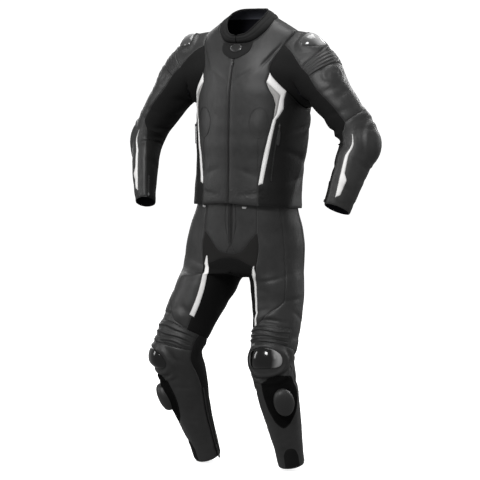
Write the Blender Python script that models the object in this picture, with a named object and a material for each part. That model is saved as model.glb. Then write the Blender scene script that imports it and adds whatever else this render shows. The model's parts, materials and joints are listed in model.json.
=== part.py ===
"""Two-piece motorcycle race suit, filled out as it is worn, with no wearer.

Metres, +Z up, the front faces -Y and the wearer's left is +X. The tables give heights above the trouser
hems, and SHOULDER_HEIGHT is taken off every point, so the origin is where the wearer's shoulders hold the suit.

The cloth follows a few forms. A form is a tube of unlike sections, and a place on it is an angle in degrees
(0 front, 90 outer side, 180 back) and a station: a height on the trunk, hips and legs, a distance on a sleeve.
A piece is one or more patches. A patch fills in between four seams, and its wall goes inwards from the form.
"""

import math

import bmesh
import bpy
import numpy as np
from mathutils import Matrix, Vector
from mathutils.bvhtree import BVHTree

SHOULDER_HEIGHT = 1.365
LEATHER = 0.0024
STRETCH = 0.0018
SEAM_GAP = 0.00065
TRIM = 0.0014
TRIM_GAP = 0.0005
ANGLE_LENGTH = 0.002
SHARED_LEAN = 0.75
GROUND_REACH = 0.012
LEFT, RIGHT = 1.0, -1.0
SIDES = (("L", LEFT), ("R", RIGHT))

for thing in list(bpy.data.objects):
    bpy.data.objects.remove(thing)
suit = bpy.data.collections.new("motorcycle_race_suit")
bpy.context.scene.collection.children.link(suit)

# Sections. Columns: station, x, y, height, turn, front, back, outer, inner, power.
# x, y and height are the section's centre, turn swings its front outwards, and the next four are its half sizes.
TRUNK = (
    (0.780, 0, -0.021, 0.780, 0, 0.118, 0.116, 0.181, 0.181, 2.4),
    (0.860, 0, -0.017, 0.860, 0, 0.122, 0.115, 0.176, 0.176, 2.4),
    (0.940, 0, -0.008, 0.940, 0, 0.128, 0.118, 0.172, 0.172, 2.4),
    (1.030, 0, 0.005, 1.030, 0, 0.141, 0.130, 0.176, 0.176, 2.4),
    (1.107, 0, 0.016, 1.107, 0, 0.149, 0.138, 0.183, 0.183, 2.3),
    (1.180, 0, 0.018, 1.180, 0, 0.146, 0.138, 0.188, 0.188, 2.2),
    (1.240, 0, 0.020, 1.240, 0, 0.136, 0.128, 0.190, 0.190, 2.1),
    (1.290, 0, 0.020, 1.290, 0, 0.121, 0.112, 0.188, 0.188, 2.0),
    (1.330, 0, 0.020, 1.330, 0, 0.102, 0.092, 0.180, 0.180, 2.0),
    (1.360, 0, 0.018, 1.360, 0, 0.083, 0.078, 0.160, 0.160, 2.0),
    (1.385, 0, 0.014, 1.385, 0, 0.074, 0.071, 0.120, 0.120, 2.0),
    (1.405, 0, 0.008, 1.405, 0, 0.070, 0.068, 0.086, 0.086, 2.0),
    (1.440, 0, 0.004, 1.440, 0, 0.068, 0.066, 0.078, 0.078, 2.0),
)
SLEEVE = (
    (0.000, 0.140, 0.010, 1.262, 0, 0.100, 0.105, 0.100, 0.125, 2.0),
    (0.050, 0.186, 0.006, 1.257, 0, 0.092, 0.098, 0.097, 0.110, 2.0),
    (0.100, 0.228, 0.001, 1.234, 0, 0.082, 0.086, 0.086, 0.090, 2.0),
    (0.170, 0.276, -0.004, 1.182, 5, 0.070, 0.072, 0.071, 0.070, 2.0),
    (0.260, 0.331, -0.005, 1.112, 20, 0.058, 0.060, 0.065, 0.060, 2.0),
    (0.330, 0.372, -0.001, 1.057, 35, 0.051, 0.053, 0.064, 0.058, 2.0),
    (0.375, 0.387, -0.008, 1.012, 40, 0.048, 0.050, 0.065, 0.058, 2.0),
    (0.425, 0.381, -0.029, 0.965, 40, 0.043, 0.045, 0.059, 0.055, 2.0),
    (0.480, 0.371, -0.048, 0.910, 40, 0.039, 0.041, 0.052, 0.050, 2.0),
    (0.545, 0.359, -0.066, 0.850, 40, 0.033, 0.035, 0.045, 0.045, 2.0),
    (0.590, 0.351, -0.076, 0.815, 40, 0.031, 0.033, 0.042, 0.042, 2.0),
)
HIPS = (
    (0.880, 0, -0.017, 0.880, 0, 0.103, 0.100, 0.157, 0.1586, 2.4),
    (0.815, 0, -0.015, 0.815, 0, 0.107, 0.103, 0.163, 0.1705, 2.4),
    (0.740, 0, -0.008, 0.740, 0, 0.114, 0.120, 0.170, 0.194, 2.3),
    (0.660, 0, -0.006, 0.660, 0, 0.118, 0.126, 0.174, 0.216, 2.2),
    (0.600, 0, -0.006, 0.600, 0, 0.116, 0.122, 0.172, 0.222, 2.2),
)
LEG_LEFT = (
    (0.660, 0.088, 0.000, 0.660, 6, 0.112, 0.120, 0.086, 0.084, 2.1),
    (0.580, 0.096, -0.005, 0.580, 12, 0.100, 0.106, 0.087, 0.080, 2.1),
    (0.512, 0.104, -0.013, 0.512, 14, 0.090, 0.094, 0.081, 0.076, 2.1),
    (0.450, 0.111, -0.029, 0.450, 14, 0.080, 0.082, 0.076, 0.072, 2.1),
    (0.395, 0.115, -0.047, 0.395, 11, 0.074, 0.074, 0.072, 0.069, 2.1),
    (0.344, 0.117, -0.064, 0.344, 11, 0.071, 0.068, 0.069, 0.066, 2.1),
    (0.288, 0.121, -0.056, 0.288, 16, 0.069, 0.070, 0.067, 0.064, 2.1),
    (0.232, 0.125, -0.044, 0.232, 20, 0.064, 0.070, 0.066, 0.062, 2.1),
    (0.177, 0.128, -0.028, 0.177, 20, 0.057, 0.064, 0.061, 0.057, 2.1),
    (0.121, 0.130, -0.010, 0.121, 20, 0.051, 0.057, 0.055, 0.051, 2.1),
    (0.065, 0.131, 0.010, 0.065, 20, 0.045, 0.050, 0.047, 0.045, 2.1),
    (0.005, 0.131, 0.028, 0.005, 20, 0.041, 0.045, 0.043, 0.041, 2.1),
)
LEG_RIGHT = (
    (0.660, 0.105, -0.010, 0.660, 8, 0.112, 0.118, 0.088, 0.084, 2.1),
    (0.580, 0.126, -0.046, 0.580, 15, 0.098, 0.102, 0.086, 0.082, 2.1),
    (0.515, 0.148, -0.080, 0.515, 22, 0.087, 0.088, 0.080, 0.076, 2.1),
    (0.455, 0.169, -0.107, 0.455, 32, 0.078, 0.078, 0.075, 0.073, 2.1),
    (0.405, 0.184, -0.124, 0.405, 40, 0.073, 0.070, 0.072, 0.070, 2.1),
    (0.355, 0.193, -0.129, 0.355, 42, 0.073, 0.067, 0.072, 0.069, 2.1),
    (0.290, 0.193, -0.110, 0.290, 32, 0.069, 0.068, 0.069, 0.066, 2.1),
    (0.232, 0.189, -0.090, 0.232, 25, 0.063, 0.068, 0.067, 0.063, 2.1),
    (0.177, 0.184, -0.066, 0.177, 25, 0.056, 0.063, 0.060, 0.056, 2.1),
    (0.121, 0.180, -0.042, 0.121, 25, 0.050, 0.057, 0.053, 0.050, 2.1),
    (0.065, 0.175, -0.014, 0.065, 25, 0.044, 0.049, 0.046, 0.044, 2.1),
    (0.005, 0.171, 0.010, 0.005, 25, 0.041, 0.045, 0.043, 0.041, 2.1),
)

# Where a sleeve leaves the trunk. Columns: sleeve angle, trunk angle, trunk height.
ARMHOLE = (
    (-120, 110, 1.134),
    (-90, 90, 1.128),
    (-60, 60, 1.178),
    (-30, 39, 1.235),
    (0, 43, 1.282),
    (40, 58, 1.332),
    (90, 90, 1.364),
    (135, 115, 1.333),
    (180, 130, 1.262),
    (210, 126, 1.190),
)
ARM_BLEND = 0.20
ARM_UPRIGHT = 0.16
SIDEWAYS = (1.0, 0, 0)

# The neck seam, and the collar's top rim. Columns: trunk angle, height.
NECK = ((0, 1.324), (17, 1.334), (28, 1.356), (46, 1.380), (68, 1.396), (90, 1.402), (130, 1.404), (180, 1.404))
COLLAR_TOP = ((0, 1.348), (30, 1.357), (60, 1.386), (90, 1.412), (120, 1.428), (180, 1.434))
COLLAR_HALF_WIDTH = 0.063
COLLAR_HALF_DEPTH = 0.067
COLLAR_MIDDLE = -0.022

# A leg leaves the hips at LOOP. On its ring the front and back centre seams stand at these angles,
# and the crotch hangs between them.
LOOP = 0.660
CENTRE_FRONT = -60
CENTRE_BACK = 240
CROTCH_DROP = 0.040
CROTCH_SAG = 0.022
LEG_BLEND = 0.13
LEG_BLEND_LOSS = 0.035
LEVEL_BLEND = 0.16

# Raised pads and bulges. Columns: angle, station, half angle, half length, height.
SLEEVE_PADS = (
    (60, 0.062, 42, 0.036, 0.006),
    (55, 0.160, 30, 0.022, 0.004),
    (52, 0.372, 62, 0.052, 0.011),
)
LEG_PADS = ((0, 0.348, 62, 0.056, 0.009), (24, 0.235, 60, 0.085, 0.003))
TRUNK_PADS = ((30, 1.081, 12, 0.046, 0.002),)

# Largest folds. Columns: angle, station, half angle, half length, lean, height.
# A fold runs round the form for its half angle; lean is its rise in metres over that half angle.
SLEEVE_FOLDS = (
    (62, 0.312, 40, 0.008, 0.006, 0.0035),
    (58, 0.331, 46, 0.008, -0.004, 0.0030),
    (-100, 0.345, 55, 0.012, 0.012, -0.0060),
    (-120, 0.375, 48, 0.010, -0.010, -0.0050),
    (-80, 0.315, 45, 0.012, 0.014, 0.0040),
    (-95, 0.235, 50, 0.016, 0.024, -0.0040),
    (-60, 0.085, 48, 0.016, 0.030, -0.0050),
    (-75, 0.130, 44, 0.016, 0.026, 0.0035),
    (190, 0.100, 40, 0.016, -0.022, -0.0040),
    (10, 0.562, 70, 0.009, 0.006, -0.0020),
)
LEG_FOLDS = (
    (-20, 0.458, 52, 0.009, 0.010, 0.0045),
    (10, 0.437, 60, 0.008, -0.006, -0.0035),
    (180, 0.372, 60, 0.012, 0.014, -0.0060),
    (170, 0.340, 52, 0.012, -0.010, -0.0060),
    (190, 0.405, 50, 0.012, 0.016, 0.0045),
    (-95, 0.560, 46, 0.016, 0.030, -0.0045),
    (-100, 0.510, 44, 0.014, 0.026, 0.0035),
    (200, 0.600, 50, 0.016, -0.020, -0.0050),
    (-30, 0.296, 50, 0.008, 0.008, -0.0025),
    (150, 0.080, 60, 0.010, 0.012, -0.0030),
)
TRUNK_FOLDS = (
    (112, 1.050, 26, 0.014, 0.030, -0.0035),
    (104, 0.960, 30, 0.013, -0.022, -0.0030),
    (150, 0.905, 30, 0.012, 0.016, 0.0025),
    (58, 1.300, 20, 0.012, 0.040, -0.0030),
)


def smooth(rows, at):
    """Every column of the table at `at`, on a smooth curve through its rows, and the curve's slope."""
    rows = np.array(rows, float)
    if rows[0, 0] > rows[-1, 0]:
        rows = rows[::-1]
    key = rows[:, 0]
    slopes = np.gradient(rows, key, axis=0)
    asked = np.asarray(at, float)
    at = np.clip(asked, key[0], key[-1])
    k = np.clip(np.searchsorted(key, at, side="right") - 1, 0, len(key) - 2)
    step = (key[k + 1] - key[k])[..., None]
    t = (at - key[k])[..., None] / step
    low, high = rows[k], rows[k + 1]
    low_slope, high_slope = slopes[k] * step, slopes[k + 1] * step
    rise = 3 * t**2 - 2 * t**3
    value = low + (high - low) * rise + (t**3 - 2 * t**2 + t) * low_slope + (t**3 - t**2) * high_slope
    bend = (3 * t**2 - 4 * t + 1) * low_slope + (3 * t**2 - 2 * t) * high_slope
    slope = ((6 * t - 6 * t**2) * (high - low) + bend) / step
    return value + slope * (asked - at)[..., None], slope


def smooth_loop(rows, angle):
    """The same on a table that closes on itself after 360 degrees."""
    rows = np.array(rows, float)
    turn = np.zeros(rows.shape[1])
    turn[0] = 360
    wrapped = np.concatenate([rows[-3:] - turn, rows, rows[:3] + turn])
    angle = (np.asarray(angle, float) - rows[0, 0]) % 360 + rows[0, 0]
    return smooth(wrapped, angle)[0]


def unit(v):
    return v / np.linalg.norm(v, axis=-1, keepdims=True)


def fade(t):
    """1 at 0 and 0 at 1, smoothly."""
    t = np.clip(t, 0, 1)
    return 1 - t * t * (3 - 2 * t)


def section(table, angle, station, level, axis=(0, 0, -1.0)):
    """Points of a tube of unlike sections: square to its own line at level 0, to the given axis at level 1."""
    value, slope = smooth(table, station)
    _, x, y, height, turn, front, back, outer, inner, power = np.moveaxis(value, -1, 0)
    down = slope[..., 1:4] * np.where(slope[..., 3:4] > 0, -1.0, 1.0)
    down = unit(down)
    down = unit(down + (np.array(axis) - down) * np.asarray(level, float)[..., None])
    ahead = unit(np.array([0, -1.0, 0]) + down * down[..., 1:2])
    aside = np.cross(ahead, down)
    c, s = np.cos(np.radians(turn))[..., None], np.sin(np.radians(turn))[..., None]
    ahead, aside = ahead * c + aside * s, aside * c - ahead * s
    c, s = np.cos(np.radians(angle)), np.sin(np.radians(angle))
    along = np.sign(c) * np.abs(c) ** (2 / power) * np.where(c > 0, front, back)
    across = np.sign(s) * np.abs(s) ** (2 / power) * np.where(s > 0, outer, inner)
    return np.stack([x, y, height], -1) + ahead * along[..., None] + aside * across[..., None]


def trunk_point(angle, height):
    return section(TRUNK, angle, height, 1)


def sleeve_point(angle, station):
    """The left sleeve. It starts on the armhole and turns into its own sections."""
    place = smooth_loop(ARMHOLE, angle)
    shift = trunk_point(place[..., 1], place[..., 2]) - section(SLEEVE, angle, station * 0, 1, SIDEWAYS)
    upright = fade(station / ARM_UPRIGHT)
    return section(SLEEVE, angle, station, upright, SIDEWAYS) + shift * fade(station / ARM_BLEND)[..., None]


def collar_point(angle, rise):
    """The collar, from the neck seam at rise 0 to its rim at rise 1."""
    folded = np.abs((angle + 180) % 360 - 180)
    seam = trunk_point(angle, smooth(NECK, folded)[0][..., 1])
    height = smooth(COLLAR_TOP, folded)[0][..., 1]
    s, c = np.sin(np.radians(angle)), np.cos(np.radians(angle))
    rim = np.stack([COLLAR_HALF_WIDTH * s, COLLAR_MIDDLE - COLLAR_HALF_DEPTH * c, height], -1)
    belly = np.stack([s, -c, 0 * s], -1) * (0.004 * np.sin(np.pi * rise))[..., None]
    return seam + (rim - seam) * rise[..., None] + belly


def hip_point(angle, height):
    point = section(HIPS, angle, height, 1)
    nearness = np.abs(np.cos(np.radians(angle))) ** 3
    point[..., 2] -= CROTCH_DROP * nearness * (1 - fade((0.78 - height) / 0.12))
    return point


def leg_loop(angle, side):
    """A leg's top edge: round the hip, then under the crotch."""
    turn = np.clip((angle - CENTRE_FRONT) / (CENTRE_BACK - CENTRE_FRONT) * 180, 0, 180)
    outside = hip_point(turn * side, LOOP + 0 * angle) * np.array([side, 1, 1])
    under = np.clip((angle - CENTRE_BACK) / (360 + CENTRE_FRONT - CENTRE_BACK), 0, 1)
    back = hip_point(np.array(180.0), np.array(LOOP))
    front = hip_point(np.array(0.0), np.array(LOOP))
    arc = back + (front - back) * under[..., None]
    arc[..., 0] = 0
    arc[..., 2] -= CROTCH_SAG * np.sin(np.pi * under)
    return np.where((angle <= CENTRE_BACK)[..., None], outside, arc)


def trouser_point(side):
    """One trouser half, as if it were the left one: hips above LOOP, leg below it."""
    table = LEG_LEFT if side == LEFT else LEG_RIGHT

    def point(angle, station):
        angle = (angle - CENTRE_FRONT) % 360 + CENTRE_FRONT
        under = (angle > CENTRE_BACK + 1) & (angle < CENTRE_FRONT + 359)
        asked = station
        station = np.where(under, np.minimum(asked, LOOP), asked)
        lower = np.minimum(station, LOOP)
        level = fade((LOOP - lower) / LEVEL_BLEND)
        shift = leg_loop(angle, side) - section(table, angle, lower * 0 + LOOP, 1)
        reach = LEG_BLEND + LEG_BLEND_LOSS * (np.sin(np.radians(angle)) - 1)
        leg = section(table, angle, lower, level) + shift * fade((LOOP - lower) / reach)[..., None]
        round_hip = np.where(angle > CENTRE_BACK + 2, angle - 360, angle) - CENTRE_FRONT
        turn = round_hip / (CENTRE_BACK - CENTRE_FRONT) * 180
        hip = hip_point(turn * side, np.maximum(station, LOOP)) * np.array([side, 1, 1])
        leg[..., 2] += np.where(under, asked - station, 0)
        return np.where((station > LOOP)[..., None], hip, leg)

    return point


def relief(pads, folds):
    """Height of the pads and folds over a form."""

    def height(angle, station):
        total = np.zeros(np.broadcast(angle, station).shape)
        for middle, at, half_angle, half_length, rise in pads:
            across = ((angle - middle + 180) % 360 - 180) / half_angle
            along = (station - at) / half_length
            total = total + rise * fade(np.sqrt(across**2 + along**2) * 1.15 - 0.15)
        for middle, at, half_angle, half_length, lean, rise in folds:
            across = ((angle - middle + 180) % 360 - 180) / half_angle
            along = (station - at - lean * across) / half_length
            total = total + rise * fade(np.abs(across)) * np.exp(-(along**2))
        return total

    return height


class Form:
    """A surface that pieces lie on. side mirrors it to the wearer's right."""

    def __init__(self, point, side=LEFT, height=None, down=-1.0):
        self.point, self.side, self.height, self.down = point, side, height, down

    def place(self, angle, station):
        """Points in the part's frame with pads and folds, and the form's outward normals without them."""
        angle, station = np.broadcast_arrays(np.asarray(angle, float), np.asarray(station, float))
        turn, step = 0.5, 0.0015
        across = self.point(angle + turn, station) - self.point(angle - turn, station)
        along = self.point(angle, station + step) - self.point(angle, station - step)
        normal = unit(np.cross(along, across)) * self.down
        point = self.point(angle, station) - np.array([0, 0, SHOULDER_HEIGHT])
        if self.height is not None:
            point = point + normal * self.height(angle, station)[..., None]
        flip = np.array([self.side, 1, 1])
        return point * flip, normal * flip


def forms(side):
    return {
        "trunk": Form(trunk_point, side, relief(TRUNK_PADS, TRUNK_FOLDS)),
        "sleeve": Form(sleeve_point, side, relief(SLEEVE_PADS, SLEEVE_FOLDS), 1.0),
        "collar": Form(collar_point, side),
        "hips": Form(hip_point, side),
        "trousers": Form(trouser_point(side), side, relief(LEG_PADS, LEG_FOLDS)),
    }


# Seams and patches. A seam is an array of (angle, station) places.


def line(parts, *points):
    """parts + 1 places, evenly spaced on a smooth curve through the points."""
    points = np.array(points, float)
    if len(points) > 2:
        spans = np.diff(points * (ANGLE_LENGTH, 1), axis=0)
        reach = np.concatenate([[0], np.cumsum(np.linalg.norm(spans, axis=1) + 1e-9)])
        dense = smooth(np.column_stack([reach, points]), np.linspace(0, reach[-1], 24 * len(points)))[0][:, 1:]
    else:
        dense = points[0] + (points[1] - points[0]) * np.linspace(0, 1, 24)[:, None]
    spans = np.diff(dense * (ANGLE_LENGTH, 1), axis=0)
    reach = np.concatenate([[0], np.cumsum(np.linalg.norm(spans, axis=1) + 1e-12)])
    wanted = np.linspace(0, reach[-1], parts + 1)
    return np.column_stack([np.interp(wanted, reach, dense[:, k]) for k in (0, 1)])


def corners(*points):
    """A seam through the given places only."""
    return np.array(points, float)


def chain(*seams):
    """Seams joined end to end."""
    return np.concatenate([seams[0]] + [seam[1:] for seam in seams[1:]])


def armhole_edge(first, last, parts):
    """The armhole between two sleeve angles, as places on the trunk."""
    return smooth_loop(ARMHOLE, np.linspace(first, last, parts + 1))[:, 1:]


def mirrored(seam):
    return seam * (-1, 1)


def patch(left, right, bottom, top):
    """Places filling in between four seams: left and right run from bottom to top, the others left to right."""
    v = np.linspace(0, 1, len(left))[:, None, None]
    u = np.linspace(0, 1, len(bottom))[None, :, None]
    sides = (1 - u) * left[:, None] + u * right[:, None]
    ends = (1 - v) * bottom[None] + v * top[None]
    corners = (1 - u) * ((1 - v) * left[0] + v * left[-1]) + u * ((1 - v) * right[0] + v * right[-1])
    return sides + ends - corners


def level(first, last, station, parts):
    """A seam that stays at one station."""
    return line(parts, (first, station), (last, station))


class Sheet:
    """Patches of one piece, welded along their shared edges into one open mesh."""

    def __init__(self, *parts):
        points, normals, places, quads, start = [], [], [], [], 0
        for form, grid in parts:
            place, normal = form.place(grid[..., 0], grid[..., 1])
            rows, columns = grid.shape[:2]
            index = np.arange(rows * columns).reshape(rows, columns)
            corners = np.stack([index[:-1, :-1], index[:-1, 1:], index[1:, 1:], index[1:, :-1]], -1).reshape(-1, 4)
            flat, around = place.reshape(-1, 3), normal.reshape(-1, 3)
            facing = np.cross(flat[corners[:, 2]] - flat[corners[:, 0]], flat[corners[:, 3]] - flat[corners[:, 1]])
            if np.sum(facing * around[corners[:, 0]]) < 0:
                corners = corners[:, ::-1]
            quads.append(corners + start)
            points.append(flat)
            normals.append(around)
            places.append(grid.reshape(-1, 2))
            start += rows * columns
        points, normals = np.concatenate(points), np.concatenate(normals)
        _, first, index = np.unique(np.round(points, 5), axis=0, return_index=True, return_inverse=True)
        index = index.reshape(-1)
        summed = np.zeros((len(first), 3))
        np.add.at(summed, index, normals)
        self.points, self.normals, self.places = points[first], unit(summed), np.concatenate(places)[first]
        self.faces = [face for face in map(without_repeats, index[np.concatenate(quads)]) if len(face) > 2]

    def edges(self):
        """Open edges, in their faces' direction."""
        ends = [(face[k], face[(k + 1) % len(face)]) for face in self.faces for k in range(len(face))]
        found = set(ends)
        return [(a, b) for a, b in ends if (b, a) not in found]

    def draw_in(self, gap):
        """Moves the open edges inwards, so that neighbours stand clear of each other."""
        ways = {}
        for a, b in self.edges():
            along = unit(self.points[b] - self.points[a])
            inward = unit(np.cross(self.normals[a] + self.normals[b], along))
            ways.setdefault(a, []).append(inward)
            ways.setdefault(b, []).append(inward)
        for k, found in ways.items():
            total = np.sum(found, axis=0)
            self.points[k] = self.points[k] + total * gap / max(0.05, 1 + float(found[0] @ found[-1]))


def without_repeats(face):
    """A quad with a side of no length becomes a triangle."""
    kept = []
    for k in face:
        if k not in kept:
            kept.append(int(k))
    return kept


def share_normals(sheets):
    """Where two forms meet, the walls lean the same way."""
    places = {}
    for sheet in sheets:
        for k in {k for edge in sheet.edges() for k in edge}:
            places.setdefault(tuple(np.round(sheet.points[k], 4)), []).append((sheet, k))
    for found in places.values():
        shared = unit(sum(sheet.normals[k] for sheet, k in found))
        for sheet, k in found:
            if sheet.normals[k] @ shared > SHARED_LEAN:
                sheet.normals[k] = shared


def settle_on_neighbours(sheets):
    """Where a finely divided edge meets a coarse one, its points move onto the coarse edge's straight runs."""
    runs = [(sheet, a, b) for sheet in sheets for a, b in sheet.edges()]
    start = np.array([sheet.points[a] for sheet, a, _ in runs])
    way = np.array([sheet.points[b] for sheet, _, b in runs]) - start
    length = np.linalg.norm(way, axis=1)
    own = {}
    for (sheet, a, b), size in zip(runs, length):
        for k in (a, b):
            own[id(sheet), k] = max(own.get((id(sheet), k), 0), size)
    moves = []
    for sheet in sheets:
        others = np.array([run[0] is not sheet for run in runs])
        for k in {k for edge in sheet.edges() for k in edge}:
            offset = sheet.points[k] - start
            share = np.clip(np.sum(offset * way, axis=1) / length**2, 0, 1)
            away = np.linalg.norm(offset - way * share[:, None], axis=1)
            found = others & (share * length > 0.0005) & ((1 - share) * length > 0.0005)
            found &= (away < 0.003) & (length > 1.25 * own[id(sheet), k])
            touching = others & (away < 1e-4) & ~found
            if found.any() and not touching.any():
                best = np.flatnonzero(found)[np.argmin(away[found])]
                other, a, b = runs[best]
                t = share[best]
                normal = unit(other.normals[a] * (1 - t) + other.normals[b] * t)
                moves.append((sheet, k, start[best] + way[best] * t, normal))
    for sheet, k, place, normal in moves:
        sheet.points[k], sheet.normals[k] = place, normal


def halves(u, v):
    """The shares of a quad's corners in a point of it, when it is split along one diagonal and along the other."""
    yield (1 - u, u - v, v, 0) if u > v else (1 - v, 0, u, v - u)
    yield (1 - u - v, u, 0, v) if u + v < 1 else (0, 1 - v, u + v - 1, 1 - u)


SEAT_SHARES = np.array([share for u in range(9) for v in range(9) for share in halves(u / 8, v / 8)])


class Ground:
    """The outer faces built so far, which later pieces are seated on."""

    def __init__(self):
        self.points, self.faces, self.tree = [], [], None

    def add(self, mesh, count):
        """Adds the mesh's first `count` faces, as the triangles that they are drawn with."""
        start = len(self.points)
        mesh.calc_loop_triangles()
        self.points += [tuple(vertex.co) for vertex in mesh.vertices]
        kept = [corner for corner in mesh.loop_triangles if corner.polygon_index < count]
        self.faces += [[k + start for k in corner.vertices] for corner in kept]
        self.tree = BVHTree.FromPolygons(self.points, self.faces)

    def depth(self, point, normal):
        """How far below the point the top face lies, along the normal."""
        start = Vector(point + normal * GROUND_REACH)
        found = self.tree.ray_cast(start, Vector(-normal), 2 * GROUND_REACH)[3]
        return 0.0 if found is None else found - GROUND_REACH

    def seat(self, sheet):
        """Lowers the sheet's points onto the faces below them, then lifts it clear of the edges in between."""
        sheet.points = sheet.points - sheet.normals * self.depths(sheet.points, sheet.normals)[:, None]
        rise = 0.0
        for face in sheet.faces:
            quad = [*face, face[-1]][:4]
            for share in SEAT_SHARES:
                point, normal = share @ sheet.points[quad], unit(share @ sheet.normals[quad])
                rise = max(rise, -self.depth(point, normal))
        sheet.points = sheet.points + sheet.normals * rise

    def depths(self, points, normals):
        return np.array([self.depth(point, normal) for point, normal in zip(points, normals)])


def new_material(name, colour, roughness, metallic=0.0):
    material = bpy.data.materials.get(name) or bpy.data.materials.new(name)
    material.use_nodes = True
    shader = material.node_tree.nodes["Principled BSDF"]
    shader.inputs["Base Color"].default_value = (*colour, 1)
    shader.inputs["Roughness"].default_value = roughness
    shader.inputs["Metallic"].default_value = metallic
    material.diffuse_color = (*colour, 1)
    return material


def add_object(name, mesh, finish):
    colour, roughness, metallic = FINISHES[finish]
    mesh.materials.append(new_material(f"{name}_{finish}", colour, roughness, metallic))
    mesh.shade_smooth()
    mesh.set_sharp_from_angle(angle=math.radians(40))
    thing = bpy.data.objects.new(name, mesh)
    suit.objects.link(thing)
    return thing


def add_wall(name, sheet, finish, thickness, lift=0.0, crown=None, ground=None):
    """The sheet as a closed wall. lift raises its inner side off the form, crown adds height to its outer side."""
    inner = sheet.points + sheet.normals * (lift if lift else -thickness)
    outer = sheet.points + sheet.normals * (lift + thickness if lift else 0)
    if crown is not None:
        outer = outer + sheet.normals * crown(sheet.places[:, 0], sheet.places[:, 1])[:, None]
    count = len(inner)
    faces = [list(face) for face in sheet.faces]
    faces += [[k + count for k in reversed(face)] for face in sheet.faces]
    faces += [[b, a, a + count, b + count] for a, b in sheet.edges()]
    mesh = bpy.data.meshes.new(name)
    mesh.from_pydata([*map(tuple, outer), *map(tuple, inner)], [], faces)
    mesh.validate()
    if ground is not None:
        ground.add(mesh, len(sheet.faces))
    return add_object(name, mesh, finish)


FINISHES = {
    # colour, roughness, metallic
    "leather": ((0.045, 0.045, 0.046), 0.52, 0.0),
    "stretch": ((0.014, 0.014, 0.016), 0.85, 0.0),
    "white": ((0.86, 0.85, 0.83), 0.45, 0.0),
    "grey": ((0.42, 0.42, 0.40), 0.50, 0.0),
    "rib": ((0.030, 0.030, 0.032), 0.55, 0.0),
    "neoprene": ((0.012, 0.012, 0.014), 0.80, 0.0),
    "velcro": ((0.008, 0.008, 0.009), 0.95, 0.0),
    "hard": ((0.020, 0.020, 0.022), 0.15, 0.0),
    "zip": ((0.016, 0.016, 0.017), 0.45, 0.0),
    "rubber": ((0.022, 0.022, 0.023), 0.62, 0.0),
}


def neck_edge(first, last, parts):
    angles = np.linspace(first, last, parts + 1)
    return np.column_stack([angles, smooth(NECK, np.minimum(angles, 360 - angles))[0][:, 1]])


def other_side(seam):
    """A trunk seam on the wearer's other side, as angles past the back."""
    return seam * (-1, 1) + (360, 0)


def oval(angle, station, half_angle, half_length, columns, rows, lean=0.0):
    """A round patch, as a grid pulled into a disc. lean is its rise along the station over the half angle."""
    u, v = np.meshgrid(np.linspace(-1, 1, columns + 1), np.linspace(-1, 1, rows + 1))
    across, along = u * np.sqrt(1 - v * v / 2), v * np.sqrt(1 - u * u / 2)
    return np.stack([angle + across * half_angle, station + along * half_length + lean * across], -1)


def dome(angle, station, half_angle, half_length, rise, lean=0.0):
    """Height of a crowned pad, for add_wall."""

    def height(angles, stations):
        across = (angles - angle) / half_angle
        reach = np.hypot(across, (stations - station - lean * across) / half_length)
        return rise * np.sqrt(np.clip(1 - reach**2, 0, 1))

    return height


def slider_bump(low, high, rise):
    """The slider at one end of a zip."""

    def height(angles, stations):
        return rise * ((stations > low) & (stations < high))

    return height


def ribs(first, last, count, low, high, rise):
    """Ribs that run round a form between two stations and die out at both ends."""

    def height(angles, stations):
        wave = 0.5 - 0.5 * np.cos(2 * np.pi * count * (stations - low) / (high - low))
        ends = np.clip(np.minimum(angles - first, last - angles) / 12, 0, 1)
        return rise * wave * ends

    return height


# Jacket seams, on the trunk. Those of the front, the insert and the side run from hem to armhole.
ZIP_EDGE = 2.4
HEM_FRONT = line(6, (ZIP_EDGE, 0.832), (31, 0.826))
HEM_SIDE = line(4, (31, 0.826), (76, 0.820))
HEM_BACK = line(10, (76, 0.820), (105, 0.814), (180, 0.808), (255, 0.814), (284, 0.820))
FRONT_LOW = line(2, (31, 0.826), (31.5, 0.890))
INSERT_FOOT = line(2, (31.5, 0.890), (37, 0.895))
INSERT_INNER = line(5, (31.5, 0.890), (38, 0.985), (43, 1.050), (46, 1.090))
INSERT_OUTER = line(5, (37, 0.895), (44, 0.985), (48, 1.055), (50, 1.090))
WEDGE_FOOT = corners((46, 1.090), (46, 1.090))
WEDGE_TIP = corners((36, 1.206), (36, 1.206))
WEDGE_INNER = corners(
    (46, 1.090), (46.5, 1.097), (47, 1.104), (48, 1.137), (45, 1.161), (39, 1.186), (36, 1.206)
)
WEDGE_OUTER = corners((46, 1.090), (48, 1.099), (50, 1.108), (51.5, 1.136), (53, 1.165))
BAND_INNER = corners((53, 1.165), (44.5, 1.186), (36, 1.206))
BAND_FOOT = line(2, (53, 1.165), (60, 1.178))
BAND_TIP = line(2, (36, 1.206), (39, 1.235))
WHITE_FOOT = line(2, (46, 1.090), (50, 1.090))
WHITE_OUTER = corners((50, 1.090), (54, 1.104), (58, 1.122), (58, 1.153), (60, 1.178))
SIDE_SEAM = line(13, (76, 0.820), (86, 0.876), (105, 0.976), (110, 1.060), (110, 1.134))
ARMHOLE_FRONT = armhole_edge(-30, 90, 8)
ARMHOLE_WHITE = armhole_edge(-30, -60, 2)
ARMHOLE_SIDE = armhole_edge(-60, -120, 4)
ARMHOLE_BACK = armhole_edge(240, 90, 10)
SHOULDER_SEAM = line(2, (90, 1.364), (90, 1.402))
NECK_FRONT = neck_edge(ZIP_EDGE, 90, 6)
NECK_BACK = neck_edge(90, 270, 10)
ZIP_LINE = line(25, (ZIP_EDGE, 0.832), tuple(NECK_FRONT[0]))

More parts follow.
